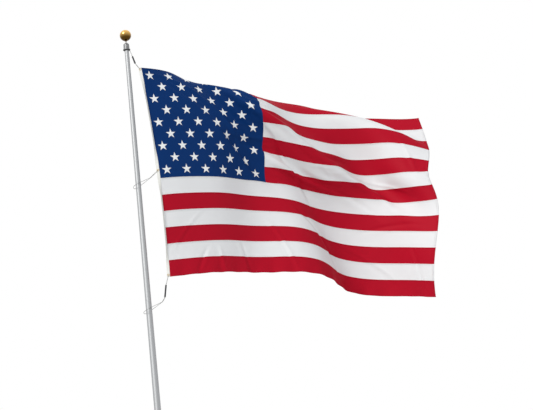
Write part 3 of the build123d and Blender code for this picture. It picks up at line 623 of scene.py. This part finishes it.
# %% Sew the flag
CLOTH_HALF = 0.0006
tuck_to = on_header(down / HOIST, HEADER_WIDTH / 2 - TUCK)[None]
skin_points = np.concatenate([tuck_to, sheet])
skin_normals = np.concatenate([sheet_normals[:1], sheet_normals])
skin_along = np.concatenate([[-TUCK], along])
front = skin_points + CLOTH_HALF * skin_normals
back = skin_points - CLOTH_HALF * skin_normals
skins = np.concatenate([front, back[:, ::-1]], axis=1)
flat_uv = np.stack(np.meshgrid(skin_along, down, indexing="ij"), -1)
skins_uv = np.concatenate([flat_uv, flat_uv[:, ::-1]], axis=1)
rows, columns = skins.shape[:2]
faces = quads_of(rows, columns, wrap_columns=True)[:, ::-1]
numbers = np.arange(rows * columns).reshape(rows, columns)
half = columns // 2
ends = [np.stack([line[:half - 1], line[1:half], line[::-1][1:half], line[::-1][:half - 1]], -1)
        for line in (numbers[0], numbers[-1])]
faces = np.concatenate([faces, ends[0][:, ::-1], ends[1]])
middle = skins_uv.reshape(-1, 2)[faces].mean(axis=1)
nylons = [red_nylon, white_nylon, blue_nylon]
colours = cloth_colour(middle[:, 0], middle[:, 1])
flag = make_piece("flag", skins, faces, "flag", nylons, colours, skins_uv)
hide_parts("flag_cloth")

# %% [markdown]
# ## Seams and hems
# Two stripes are joined by a lap: the lower one's edge is folded over the upper one's and sewn
# down twice. So each seam is a narrow raised band in the lower stripe's colour, on both faces.
# The head, the foot and the fly end are hemmed with the same band, and the fly end's is wide,
# because that is where a flag frays first. A band is a small grid laid on the cloth, whose outer
# ring of points goes down into it.

# %% Laps and hems
LAP_WIDTH, LAP_RISE, FLY_HEM = 0.012, 0.0009, 0.028
EDGE = 0.0004
bands = [(0.0, CLOTH_LENGTH, 0.0, LAP_WIDTH), (0.0, CLOTH_LENGTH, HOIST - LAP_WIDTH, HOIST),
         (CLOTH_LENGTH - FLY_HEM, CLOTH_LENGTH, LAP_WIDTH, HOIST - LAP_WIDTH),
         (CANTON_LENGTH - LAP_WIDTH, CANTON_LENGTH, LAP_WIDTH, CANTON_DEPTH - LAP_WIDTH),
         (0.0, CANTON_LENGTH, CANTON_DEPTH - LAP_WIDTH, CANTON_DEPTH)]
for seam in range(1, STRIPES):
    start = CANTON_LENGTH if seam < 7 else 0.0
    bands.append((start, CLOTH_LENGTH - FLY_HEM, seam * STRIPE, seam * STRIPE + LAP_WIDTH))


def band_on_cloth(a0, a1, d0, d1, side):
    """One raised band between places along and down: the cloth's own grid lines, with a sunken outer ring."""
    a_in = along[(along > a0 + EDGE) & (along < a1 - EDGE)]
    d_in = down[(down > d0 + EDGE) & (down < d1 - EDGE)]
    a = np.concatenate([[a0, a0 + EDGE], a_in, [a1 - EDGE, a1]])
    d = np.concatenate([[d0, d0 + EDGE], d_in, [(d0 + d1) / 2] * (len(d_in) == 0), [d1 - EDGE, d1]])
    rise = np.full((len(a), len(d)), CLOTH_HALF + LAP_RISE)
    rise[[0, -1], :], rise[:, [0, -1]] = 0.0, 0.0
    grid_a, grid_d = np.meshgrid(a, d, indexing="ij")
    quads = quads_of(len(a), len(d))
    uv = np.stack([grid_a, grid_d], -1).reshape(-1, 2)
    mid = uv[quads].mean(axis=1)
    points = on_cloth(grid_a, grid_d, side * rise).reshape(-1, 3)
    return points, quads if side < 0 else quads[:, ::-1], uv, cloth_colour(mid[:, 0], mid[:, 1])


def joined(parts):
    """Several grids as one: points, faces with their numbers moved on, UV and colours."""
    points, faces, uv, colours = zip(*parts)
    first = np.cumsum([0] + [len(p) for p in points[:-1]])
    return (np.concatenate(points), np.concatenate([f + n for f, n in zip(faces, first)]),
            np.concatenate(uv), np.concatenate(colours))


points, faces, uv, colours = joined([band_on_cloth(*band, side) for band in bands for side in (1, -1)])
laps = make_piece("seam_laps", points, faces, "flag", nylons, colours, uv)

# %% [markdown]
# ## Stitches
# A lockstitch shows as a row of short threads, each a little fat in its middle where it is free
# and thin where it dives into the cloth. The simplest solid like that has six corners: two
# ends, two sides, a top and a bottom. One such shape is worked out for every stitch at once.

# %% Helper for stitches
STITCH_PITCH, STITCH_SHARE = 0.0075, 0.74
THREAD_WIDTH, THREAD_RISE = 0.0011, 0.0007
FEELER = 0.01


def stitch_rows(starts, ends, outs, width, rise):
    """Six-cornered threads from starts to ends: sides half a width off the middle, the top raised out."""
    run, mid = unit(ends - starts), (starts + ends) / 2
    side = unit(np.cross(outs, run)) * width / 2
    corners = np.stack([starts, mid + side, mid + outs * rise, mid - side, mid - outs * rise, ends], axis=1)
    shape = np.array([(0, 2, 1), (0, 3, 2), (0, 4, 3), (0, 1, 4), (5, 1, 2), (5, 2, 3), (5, 3, 4), (5, 4, 1)])
    faces = (shape[None] + 6 * np.arange(len(corners))[:, None, None]).reshape(-1, 3)
    return corners.reshape(-1, 3), faces


def row_on_cloth(a0, d0, a1, d1, side):
    """Places of one straight row of stitches on a face of the cloth."""
    count = int(math.hypot(a1 - a0, d1 - d0) / STITCH_PITCH)
    share = (np.arange(count) + 0.5 - STITCH_SHARE / 2) / count
    step = STITCH_SHARE / count
    height = side * (CLOTH_HALF + LAP_RISE)
    near, far = [on_cloth(a0 + (a1 - a0) * s, d0 + (d1 - d0) * s, height) for s in (share, share + step)]
    a_mid, d_mid = a0 + (a1 - a0) * (share + step / 2), d0 + (d1 - d0) * (share + step / 2)
    mid = on_cloth(a_mid, d_mid, height + side * FEELER)
    return near, far, unit(mid - (near + far) / 2), np.repeat(cloth_colour(a_mid, d_mid), 8)


print("stitch helpers ready")

# %% Sew the seams
def thread(name, colour):
    """Polyester sewing thread: two plies twisted, as slanting waves of light and shade."""
    material, tree, shader = finish(name, colour, 0.5, specular_ior_level=0.25)
    twist = waves(tree, "DIAGONAL", 700.0)
    bumped(tree, shader, twist, 0.0003, 0.6)
    tinted(tree, shader, twist, colour, 0.75, 1.1)
    return material


threads = [thread("red_thread", (0.42, 0.006, 0.022)), thread("white_thread", (0.76, 0.76, 0.76)),
           thread("blue_thread", (0.003, 0.028, 0.13))]
END_GAP, SEAM_ROWS, FLY_ROWS = 0.004, (0.003, 0.009), (0.004, 0.010, 0.018, 0.025)
HEM_ROW = SEAM_ROWS[1]
lines = [(END_GAP, drop, CLOTH_LENGTH - END_GAP, drop) for drop in (HOIST - HEM_ROW, HEM_ROW)]
lines += [(CLOTH_LENGTH - off, END_GAP, CLOTH_LENGTH - off, HOIST - END_GAP) for off in FLY_ROWS]
lines += [(CANTON_LENGTH - off, END_GAP, CANTON_LENGTH - off, CANTON_DEPTH) for off in SEAM_ROWS]
for seam in range(1, STRIPES):
    for off in SEAM_ROWS:
        start = CANTON_LENGTH if seam < 7 else END_GAP
        lines.append((start, seam * STRIPE + off, CLOTH_LENGTH - FLY_HEM, seam * STRIPE + off))
for side, name in ((1, "front_stitches"), (-1, "back_stitches")):
    rows_of_stitches = zip(*[row_on_cloth(*line, side) for line in lines])
    near, far, out, colours = [np.concatenate(kind) for kind in rows_of_stitches]
    points, faces = stitch_rows(near, far, out, THREAD_WIDTH, THREAD_RISE)
    make_piece(name, points, faces, "flag", threads, colours)

# %% [markdown]
# ## Stars
# Each star is cut out and sewn to both faces of the canton. In nine rows they alternate six and
# five. A star is a disc whose rim goes in and out: its outline in polar form is straight from
# tip to notch. Rings of that outline, laid on the cloth and raised by about a millimetre, are
# the patch, and a last ring that goes down into the cloth is its edge.

# %% Stars
STAR_RADIUS = 0.0246 * HOIST
STAR_ROW_STEP = 0.1075
PATCH_RISE = 0.0014
NOTCH = 0.382
rim_angle = np.linspace(0, 2 * math.pi, 41)[:-1]


def star_rim(angle):
    """Distance from centre to rim: a straight line from each tip to the next notch, in polar form."""
    part = math.pi / 5
    turn = np.abs((angle + part) % (2 * part) - part)
    tip, notch = np.array([1.0, 0.0]), NOTCH * np.array([math.cos(part), math.sin(part)])
    side = tip - notch
    return (tip[0] * side[1] - tip[1] * side[0]) / (np.cos(turn) * side[1] - np.sin(turn) * side[0])


star_spots = np.array([(column / 12, 0.5 + (row - 5) * STAR_ROW_STEP)
                       for row in range(1, 10) for column in range(1, 12) if (row + column) % 2 == 0])
star_spots *= [0.6 * HOIST, CANTON_DEPTH]
star_spots[:, 0] -= HEADER_WIDTH
ring_size = np.array([0.02, 0.2, 0.4, 0.6, 0.8, 0.95, 1.0, 1.0])
ring_rise = np.array([1.0, 1.0, 1.0, 1.0, 1.0, 1.0, 0.7, -0.4]) * PATCH_RISE
outline = STAR_RADIUS * star_rim(rim_angle)
arms = np.stack([outline * np.sin(rim_angle), -outline * np.cos(rim_angle)], -1)
star_flat = star_spots[:, None, None, :] + ring_size[None, :, None, None] * arms[None, None, :, :]
print("stars", len(star_spots), "each of", ring_size.size * rim_angle.size, "points")

# %% Star patches as one piece
star_white, tree, shader = finish("star_cloth", (0.84, 0.84, 0.84), 0.6, sheen_weight=0.2)
bumped(tree, shader, waves(tree, "DIAGONAL", 160.0, source="UV"), 0.0004, 0.5)
clouds = noise(tree, (30, 30, 1), source="UV")
star_tint = two_colours(tree, clouds, rgb(0.78, 0.78, 0.79), rgb(0.86, 0.86, 0.85))
tree.links.new(star_tint, shader.inputs["Base Color"])
patches, patch_faces = [], []
one_patch = quads_of(ring_size.size, rim_angle.size, wrap_columns=True).tolist()
one_patch.append(list(range(rim_angle.size)))
for side in (1, -1):
    height = side * (CLOTH_HALF + ring_rise)[None, :, None]
    patches.append(on_cloth(star_flat[..., 0], star_flat[..., 1], height))
    for _ in star_spots:
        first = len(patch_faces) // len(one_patch) * ring_size.size * rim_angle.size
        patch_faces += [[first + corner for corner in face[::-side]] for face in one_patch]
stars = make_piece("stars", np.concatenate(patches), patch_faces, "flag", [star_white],
                   uv=np.concatenate([star_flat, star_flat]))

# %% Sew the stars on
RIM_ROW, RIM_GAP = 0.90, 0.12
rims = star_spots[:, None, :] + RIM_ROW * arms[None]
sides_sewn = []
for side in (1, -1):
    height = side * (CLOTH_HALF + PATCH_RISE)
    ends, raised = [on_cloth(rims[..., 0], rims[..., 1], height + side * more) for more in (0.0, FEELER)]
    nexts = np.roll(ends, -1, axis=1)
    near, far = (1 - RIM_GAP) * ends + RIM_GAP * nexts, RIM_GAP * ends + (1 - RIM_GAP) * nexts
    sides_sewn.append([kind.reshape(-1, 3) for kind in (near, far, unit(raised - ends))])
points, faces = stitch_rows(*[np.concatenate(kind) for kind in zip(*sides_sewn)], THREAD_WIDTH, THREAD_RISE)
star_stitches = make_piece("star_stitches", points, faces, "flag", [threads[1]])

# %% [markdown]
# ## The header
# The hoist edge is a strip of canvas duck folded over the cloth. Between the grommets the wind
# turns it edge on, and at each grommet its snap holds it flat. Its section is a flat oval, and
# one section per row of the hoist makes the strip. Quads inside a grommet's barrel are left out,
# and small walls between the two faces close the hole.

# %% Canvas header
HEADER_HALF = 0.0024
HOLE_RADIUS, NEAR_HOLE = 0.0099, 0.0165
close_rows = GROMMET_SHARES[:, None] + np.linspace(-NEAR_HOLE, NEAR_HOLE, 23) / HOIST
hoist_rows = np.concatenate([np.linspace(0, 1, 320), np.clip(close_rows, 0, 1).ravel()])
hoist_rows = np.unique(hoist_rows.round(7))
across = np.linspace(-1, 1, 15) * HEADER_WIDTH / 2
bulge = HEADER_HALF * np.sqrt(np.clip(1 - (across / (HEADER_WIDTH / 2))**8, 0, 1))
front_line = on_header(hoist_rows[:, None], across[None])
header_out = unit(np.cross(np.gradient(front_line, axis=1), np.gradient(front_line, axis=0)))
header_out *= -np.sign(header_out[:, :, 1:2].mean())
faces_of = [front_line + side * bulge[None, :, None] * header_out for side in (1, -1)]
header_points = np.concatenate([faces_of[0], faces_of[1][:, 1:-1][:, ::-1]], axis=1)
print("header rows", len(hoist_rows))

# %% The header's faces and its grommet holes
rows, columns = header_points.shape[:2]
count = len(across)
cell_down = (hoist_rows[1:] + hoist_rows[:-1]) / 2 * HOIST
cell_across = (across[1:] + across[:-1]) / 2
to_grommet = np.hypot(cell_down[:, None, None] - GROMMET_SHARES * HOIST, cell_across[None, :, None])
open_cells = to_grommet.min(axis=2) < HOLE_RADIUS
numbers = np.arange(rows * columns).reshape(rows, columns)
fronts = numbers[:, :count]
backs = np.concatenate([numbers[:, :1], numbers[:, count:][:, ::-1], numbers[:, count - 1:count]], axis=1)


def cells(grid, flip):
    """Quads of a grid of corner numbers, without the open ones."""
    quads = np.stack([grid[:-1, :-1], grid[1:, :-1], grid[1:, 1:], grid[:-1, 1:]], -1)[~open_cells]
    return quads[:, ::-1] if flip else quads


walls = []
for axis in (0, 1):
    near = (slice(None, -1), slice(None)) if axis == 0 else (slice(None), slice(None, -1))
    far = (slice(1, None), slice(None)) if axis == 0 else (slice(None), slice(1, None))
    for opens, shuts, flip in ((near, far, axis == 1), (far, near, axis == 0)):
        i, j = np.nonzero(open_cells[opens] & ~open_cells[shuts])
        if axis == 0:
            a, b = (i + 1, j), (i + 1, j + 1)
        else:
            a, b = (i, j + 1), (i + 1, j + 1)
        quads = np.stack([fronts[a], fronts[b], backs[b], backs[a]], -1)
        walls.append(quads[:, ::-1] if flip else quads)
caps = [np.concatenate([fronts[row], backs[row, 1:-1][::-1]]) for row in (0, -1)]
header_faces = [list(f) for f in np.concatenate([cells(fronts, False), cells(backs, True)] + walls)]
header_faces += [list(caps[0]), list(caps[1][::-1])]
print("quads left out for the grommets:", int(open_cells.sum()))

# %% [markdown]
# ## Metals, rubber and plastic for the frame's own pieces
# The tube is satin aluminium: it was polished round and round with a grit belt, so its grain is
# noise squeezed along the height. Castings are dull and slightly rough, and the ball is gold
# anodised.

# %% Satin aluminium
def satin_aluminium(name, colour, roughness):
    """Belt-polished aluminium: grain lines round the tube, and faint streaks down it where rain ran."""
    material, tree, shader = finish(name, colour, roughness, 1.0)
    grain = noise(tree, (9, 9, 900), 4.0)
    tinted(tree, shader, noise(tree, (60, 60, 0.5)), colour, 0.94, 1.05)
    tree.links.new(between(tree, grain, roughness - 0.06, roughness + 0.08), shader.inputs["Roughness"])
    bumped(tree, shader, grain, 0.00004, 0.4)
    return material


tube_finish = satin_aluminium("satin_tube", (0.40, 0.41, 0.42), 0.50)
trim_finish = satin_aluminium("satin_trim", (0.42, 0.43, 0.44), 0.42)
door_finish = satin_aluminium("satin_door", (0.41, 0.42, 0.43), 0.40)
print("satin aluminium")

# %% Castings, steel and brass
def cast_metal(name, colour, roughness, lump, depth):
    """Cast metal: pebbled skin and a dull, cloudy colour."""
    material, tree, shader = finish(name, colour, roughness, 1.0)
    clouds = noise(tree, (14, 14, 14))
    tinted(tree, shader, clouds, colour, 0.86, 1.08)
    tree.links.new(between(tree, clouds, roughness - 0.08, roughness + 0.1), shader.inputs["Roughness"])
    bumped(tree, shader, noise(tree, (lump, lump, lump), 4.0), depth, 0.7)
    return material


base_finish = cast_metal("cast_base", (0.52, 0.525, 0.53), 0.5, 420, 0.0006)
truck_finish = cast_metal("cast_truck", (0.22, 0.225, 0.23), 0.46, 500, 0.0003)
steel_finish = cast_metal("steel", (0.34, 0.34, 0.335), 0.32, 900, 0.00005)
bolt_finish = cast_metal("zinc_plated", (0.40, 0.40, 0.39), 0.38, 600, 0.00008)
brass_finish = cast_metal("rolled_brass", (0.52, 0.36, 0.13), 0.32, 700, 0.00006)
print("castings, steel and brass")

# %% Gold ball
gold_finish, tree, shader = finish("gold_ball", (0.86, 0.60, 0.20), 0.24, 1.0)
height = add(tree, "SeparateXYZ", {0: stretched(tree)}).outputs[2]
ball_low, ball_high = (corner.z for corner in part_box("ball_finial"))
# Painted shade and a painted reflection of dark ground: the base colour goes from near black at the bottom to
# bright gold at the top.
painted_shade_rise = add(tree, "MapRange", {"Value": height, "From Min": ball_low + 0.03, "From Max": ball_high - 0.015},
             interpolation_type="SMOOTHSTEP")
painted_underside_shade = two_colours(tree, painted_shade_rise.outputs[0], rgb(0.095, 0.048, 0.009), rgb(0.92, 0.56, 0.17))
tree.links.new(painted_underside_shade, shader.inputs["Base Color"])
spots = noise(tree, (45, 45, 45), 4.0)
tree.links.new(between(tree, spots, 0.17, 0.34), shader.inputs["Roughness"])
bumped(tree, shader, spots, 0.0001, 0.4)
print("gold ball")

# %% Plastic, rubber and canvas
def soft_skin(name, colour, roughness, lump, depth, **sockets):
    """Plastic or rubber: a fine matt skin with a little unevenness in its colour."""
    material, tree, shader = finish(name, colour, roughness, **sockets)
    skin = noise(tree, (lump, lump, lump))
    tinted(tree, shader, skin, colour, 0.8, 1.2)
    bumped(tree, shader, skin, depth, 0.5)
    return material


# The skirt's near-black colour is painted shade: it stands in for the shadow under the truck.
painted_shade_skirt_finish = soft_skin("black_skirt", (0.022, 0.022, 0.023), 0.5, 500, 0.0002)
liner_finish = soft_skin("bearing_liner", (0.04, 0.04, 0.04), 0.45, 700, 0.0001)
wheel_finish = soft_skin("nylon_wheel", (0.66, 0.65, 0.60), 0.42, 400, 0.0001, subsurface_weight=0.1)
rubber_finish = soft_skin("black_rubber", (0.030, 0.031, 0.034), 0.6, 350, 0.0003)


CANVAS = (0.80, 0.79, 0.75)
canvas_finish, tree, shader = finish("canvas_duck", CANVAS, 0.85, sheen_weight=0.3)
bumped(tree, shader, weave(tree, "XZ", 260.0, "Object"), 0.0005, 0.7)
tinted(tree, shader, noise(tree, (20, 20, 8)), CANVAS, 0.88, 1.03)
print("soft skins and canvas")

# %% Wire rope's two finishes
rope_finish, tree, shader = finish("wire_rope", (0.42, 0.42, 0.41), 0.34, 1.0)
wires = waves(tree, "DIAGONAL", 130.0, (1, 1, 1.6), distortion=0.6)
bumped(tree, shader, wires, 0.0006, 0.8)
# Painted shade: the colour follows the bump's waves, darker in the grooves between the wires.
painted_wire_shade = two_colours(tree, wires, rgb(0.20, 0.20, 0.20), rgb(0.50, 0.50, 0.49))
tree.links.new(painted_wire_shade, shader.inputs["Base Color"])

strand_finish, tree, shader = finish("rope_strands", (0.30, 0.30, 0.295), 0.36, 1.0)
wires = waves(tree, "DIAGONAL", 420.0, (1, 1, 1.3), distortion=0.3)
bumped(tree, shader, wires, 0.0002, 0.7)
# Painted shade: the colour follows the bump's waves, darker in the grooves between the strands' wires.
painted_wire_shade = two_colours(tree, wires, rgb(0.16, 0.16, 0.158), rgb(0.36, 0.36, 0.355))
tree.links.new(painted_wire_shade, shader.inputs["Base Color"])
print("one finish for solid rope, one for its strands")

# %% Give each of the frame's pieces its finish
FINISH_OF_SLOT = {
    "cast_base": base_finish, "satin_tube": tube_finish, "satin_trim": trim_finish, "satin_door": door_finish,
    "steel_fittings": steel_finish, "bearing_liner": liner_finish, "cast_truck": truck_finish,
    "black_skirt": painted_shade_skirt_finish, "sheave_plastic": wheel_finish, "gilt_ball": gold_finish,
    "wire_rope": rope_finish, "rubber_cover": rubber_finish, "canvas_header": canvas_finish,
    "flag_nylon": red_nylon, "brass_grommet": brass_finish,
}
for part in frame["record"]["subparts"]:
    piece = nodes[part["node"]]
    piece.data.materials.clear()
    piece.data.materials.append(FINISH_OF_SLOT[part["material_slot"]])

# %% Header strip and its stitches
HEADER_PITCH, HEADER_STITCH, HEADER_LINES = 0.0065, 0.0048, (0.0105, 0.0135)
header = make_piece("header", header_points, header_faces, "flag", [canvas_finish])
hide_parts("flag_header")
share = np.arange(END_GAP, HOIST - 0.010, HEADER_PITCH) / HOIST
rows_of_stitches = []
for side in (1, -1):
    for line in HEADER_LINES:
        near, mid, far = [on_header(share + part * HEADER_STITCH / HOIST, line) for part in (0.0, 0.5, 1.0)]
        inner = on_header(share + 0.5 * HEADER_STITCH / HOIST, line + 0.002)
        out = unit(np.cross(far - near, inner - mid))
        out *= -side * np.sign(out[:, 1:2])
        skin = out * HEADER_HALF * 0.97
        rows_of_stitches.append((near + skin, far + skin, out))
points, faces = stitch_rows(*[np.concatenate(kind) for kind in zip(*rows_of_stitches)], 0.0013, 0.0009)
header_stitches = make_piece("header_stitches", points, faces, "flag", [threads[1]])

# %% [markdown]
# ## Wire rope
# A wire rope is strands laid round one another in a helix. Its centreline is a smooth curve
# drawn by a few points, the same ones that the solid model bends its rope round. The strands
# are worked out from points read along that curve: at each, the curve's direction and two
# directions square to it make a small frame, and each strand sits at its own turning angle.

# %% Helpers for rope
ROPE_RADIUS, LAY = 0.0024, 0.030
STRANDS, STRAND_SIDES, CORE_SHARE = 6, 7, 0.8


def curve_points(name, controls, steps):
    """Points along a smooth curve drawn by control points, read from Blender's own spline."""
    line = bpy.data.curves.new(name, "CURVE")
    line.dimensions = "3D"
    line.resolution_u = steps
    spline = line.splines.new("NURBS")
    spline.points.add(len(controls) - 1)
    spline.points.foreach_set("co", np.column_stack([controls, np.ones(len(controls))]).ravel())
    spline.order_u = 3
    spline.use_endpoint_u = True
    holder = bpy.data.objects.new(name, line)
    read = bpy.data.meshes.new_from_object(holder)
    points = np.empty(len(read.vertices) * 3)
    read.vertices.foreach_get("co", points)
    bpy.data.objects.remove(holder)
    return points.reshape(-1, 3)


def strands_along(path, across):
    """Tubes twisted round a flat path whose plane faces across: each strand's angle grows with the length."""
    run = unit(np.gradient(path, axis=0))
    lengths = np.concatenate([[0], np.cumsum(np.linalg.norm(np.diff(path, axis=0), axis=1))])
    first = np.broadcast_to(across, path.shape)
    second = np.cross(run, first)
    share = math.sin(math.pi / STRANDS)
    thin = ROPE_RADIUS * share / (1 + share)
    place = ROPE_RADIUS - thin
    angle = 2 * math.pi * (lengths[:, None] / LAY + np.arange(STRANDS)[None] / STRANDS)
    outward = first[:, None] * np.cos(angle)[..., None] + second[:, None] * np.sin(angle)[..., None]
    centres = path[:, None] + place * outward
    ways = unit(np.gradient(centres, axis=0))
    beside = np.cross(ways, outward)
    turn = 2 * math.pi * np.arange(STRAND_SIDES) / STRAND_SIDES
    cosine, sine = np.cos(turn)[:, None], np.sin(turn)[:, None]
    rings = centres[:, :, None] + thin * (outward[:, :, None] * cosine + beside[:, :, None] * sine)
    core = path[:, None] + place * CORE_SHARE * (first[:, None] * cosine + second[:, None] * sine)
    tubes = np.concatenate([rings.transpose(1, 0, 2, 3), core[None]])
    faces = tube_faces(STRANDS + 1, len(path), STRAND_SIDES, capped=True)
    return tubes.reshape(-1, 3), faces, float(lengths[-1])


print("rope helpers ready")

# %% Slings round the pole
SLING_TILT = math.radians(26.5)
SLING_UP = (-math.sin(SLING_TILT), 0, math.cos(SLING_TILT))
LOOP, LOOP_CORNER, POLE_GAP = 0.060, 1.35, 0.0055
OUT_OF_FERRULE = (0.0018, 0.0026)
BUTT_RADIUS, STRAIGHT_HEIGHT, TAPER = 0.0508, 1.5, 0.0029068
HOIST_TRAVEL = 6.1


def pole_radius(height):
    """Outer radius of the pole at a height, straight up to 1.5 m and then tapered."""
    return BUTT_RADIUS - TAPER * max(0.0, height - STRAIGHT_HEIGHT)


def sling_controls(merge_x, merge_z):
    """Route of one sling: from the ferrule round behind the pole and back, in a plane tilted down."""
    far_z = merge_z - (merge_x + pole_radius(merge_z)) * math.tan(SLING_TILT)
    far_x = -(pole_radius(far_z - HOIST_TRAVEL) + POLE_GAP + ROPE_RADIUS)
    reach = (merge_x - far_x) / math.cos(SLING_TILT)
    half = np.array([OUT_OF_FERRULE, (reach - LOOP_CORNER * LOOP, LOOP), (reach, LOOP)])
    flat = np.concatenate([half, half[::-1] * [1, -1]])
    back = np.array([-math.cos(SLING_TILT), 0, -math.sin(SLING_TILT)])
    return np.array([merge_x, 0, merge_z]) + flat[:, :1] * back + flat[:, 1:] * np.array([0, -1.0, 0])


slings = []
for name, merge_x, merge_z in (("mid_sling", 0.136, 9.153), ("lower_sling", 0.148, 7.744)):
    path = curve_points(name + "_line", sling_controls(merge_x, merge_z), 40)
    points, faces, length = strands_along(path, SLING_UP)
    sling = make_piece(name + "_strands", points, faces, "flag", [strand_finish])
    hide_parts(name)
    slings.append(length)
print("sling lengths", [round(v, 3) for v in slings])

# %% [markdown]
# ## The leader
# Between the truck and the top snap the halyard runs straight. It is paid out of the truck as
# the flag comes down, but this piece rides on no body: it stays where it is made.

# %% Leader
controls = np.array([(0.03483, 0, 10.665), (0.04382, 0, 10.637), (0.0528, 0, 10.609)])
path = curve_points("leader_line", controls, 24)
points, faces, leader_length = strands_along(path, (0, 1, 0))
leader = make_piece("leader_strands", points, faces, None, [strand_finish])
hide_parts("halyard_leader")
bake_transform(leader)
print("leader", round(leader_length, 4), "m")

# %% [markdown]
# ## Anchor studs, nuts and washers
# Four threaded studs come up through the shoe. A thread is a radius that depends on angle and
# height together: the tooth's place along the height moves on by one pitch for each turn. The
# hexagon of a nut is a radius too: flat across divided by the cosine of the angle from the
# middle of its nearest side, and its chamfer is a limit on that radius near the two faces.

# %% Profiles round an axis
BOLT_OFFSET = 0.098
BOLT_SPOTS = [(x * BOLT_OFFSET, y * BOLT_OFFSET) for x in (-1, 1) for y in (-1, 1)]
ANGLES = 2 * math.pi * np.arange(48) / 48


def rings_at(radii, heights, turn=0.0):
    """Rings from a table of radii by height and angle, repeated at each bolt."""
    radii = np.broadcast_to(radii, (len(heights), len(ANGLES)))
    ring = np.stack([radii * np.cos(ANGLES + turn), radii * np.sin(ANGLES + turn),
                     np.repeat(np.asarray(heights)[:, None], len(ANGLES), axis=1)], -1)
    return np.concatenate([(ring + [x, y, 0]).reshape(-1, 3) for x, y in BOLT_SPOTS])


def fasteners(name, radii, heights, hollow, sharp, turn=0.0):
    """One piece of four turned parts. A hollow one's last ring joins its first, a solid one gets caps."""
    faces = tube_faces(len(BOLT_SPOTS), len(heights), len(ANGLES), capped=not hollow, wrap_rows=hollow)
    points = rings_at(radii, heights, turn)
    return make_piece(name, points, faces, "pole", [bolt_finish], sharp=sharp)


print("profiles ready")

# %% Anchor studs
PITCH, STUD_RADIUS, TOOTH = 0.00254, 0.0095, 0.0013
PLATE_TOP, WASHER, NUT = 0.020, 0.003, 0.016
stud_z = np.linspace(0.001, PLATE_TOP + WASHER + NUT + 0.011, 190)
place = (stud_z[:, None] / PITCH - ANGLES[None] / (2 * math.pi)) % 1.0
tooth = TOOTH * np.clip(1.35 * np.abs(2 * place - 1) - 0.15, 0, 1)
taper = np.clip((stud_z[-1] - stud_z) / 0.0018, 0, 1)[:, None]
stud_radii = np.minimum(STUD_RADIUS - TOOTH + tooth, STUD_RADIUS - TOOTH * 1.3 + TOOTH * 1.3 * taper)
fasteners("anchor_studs", stud_radii, stud_z, hollow=False, sharp=40)

# %% Washers
washer_z = PLATE_TOP + np.array([0.0, 0.0, 0.0004, WASHER - 0.0004, WASHER, WASHER])
washer_r = np.array([0.0103, 0.0181, 0.0185, 0.0185, 0.0181, 0.0103])[:, None]
fasteners("anchor_washers", washer_r, washer_z, hollow=True, sharp=30)

# %% Nuts
ACROSS_FLATS = 0.0286
hexagon = ACROSS_FLATS / 2 / np.cos((ANGLES % (math.pi / 3)) - math.pi / 6)
nut_low = PLATE_TOP + WASHER
limits = np.array([0.0, 0.0136, 0.0146, 0.0175, 0.0175, 0.0146, 0.0136, 0.0])[:, None]
nut_z = nut_low + np.array([0.0, 0.0, 0.0006, 0.0022, NUT - 0.0022, NUT - 0.0006, NUT, NUT])
nut_r = np.minimum(hexagon[None], limits)
nut_r[[0, -1]] = STUD_RADIUS - 0.0006
fasteners("anchor_nuts", nut_r, nut_z, hollow=True, sharp=25, turn=0.2)

# %% [markdown]
# ## Weld round the hub
# The tube is welded into the shoe. A weld bead is a ring whose section swells and shrinks in
# close ripples, each one a puddle of metal that set a moment after the last.

# %% Weld bead
WELD_RADIUS, WELD_HEIGHT, BEAD = 0.0535, 0.1305, 0.0042
ROUND, SECTION = 720, 12
ring_angle = 2 * math.pi * np.arange(ROUND) / ROUND
section = 2 * math.pi * np.arange(SECTION) / SECTION
ripple = 1 + 0.10 * np.abs(np.sin(55 * ring_angle + 0.8 * np.sin(7 * ring_angle)))
bead = BEAD * ripple[:, None]
bead_r = WELD_RADIUS + bead * np.cos(section)[None]
bead_z = WELD_HEIGHT + bead * 0.85 * np.sin(section)[None]
points = np.stack([bead_r * np.cos(ring_angle)[:, None], bead_r * np.sin(ring_angle)[:, None], bead_z], -1)
make_piece("hub_weld", points, quads_of(ROUND, SECTION, True, True), "pole", [base_finish])

print("declared a sheet of", round(HOIST * CLOTH_LENGTH, 2), "square metres")
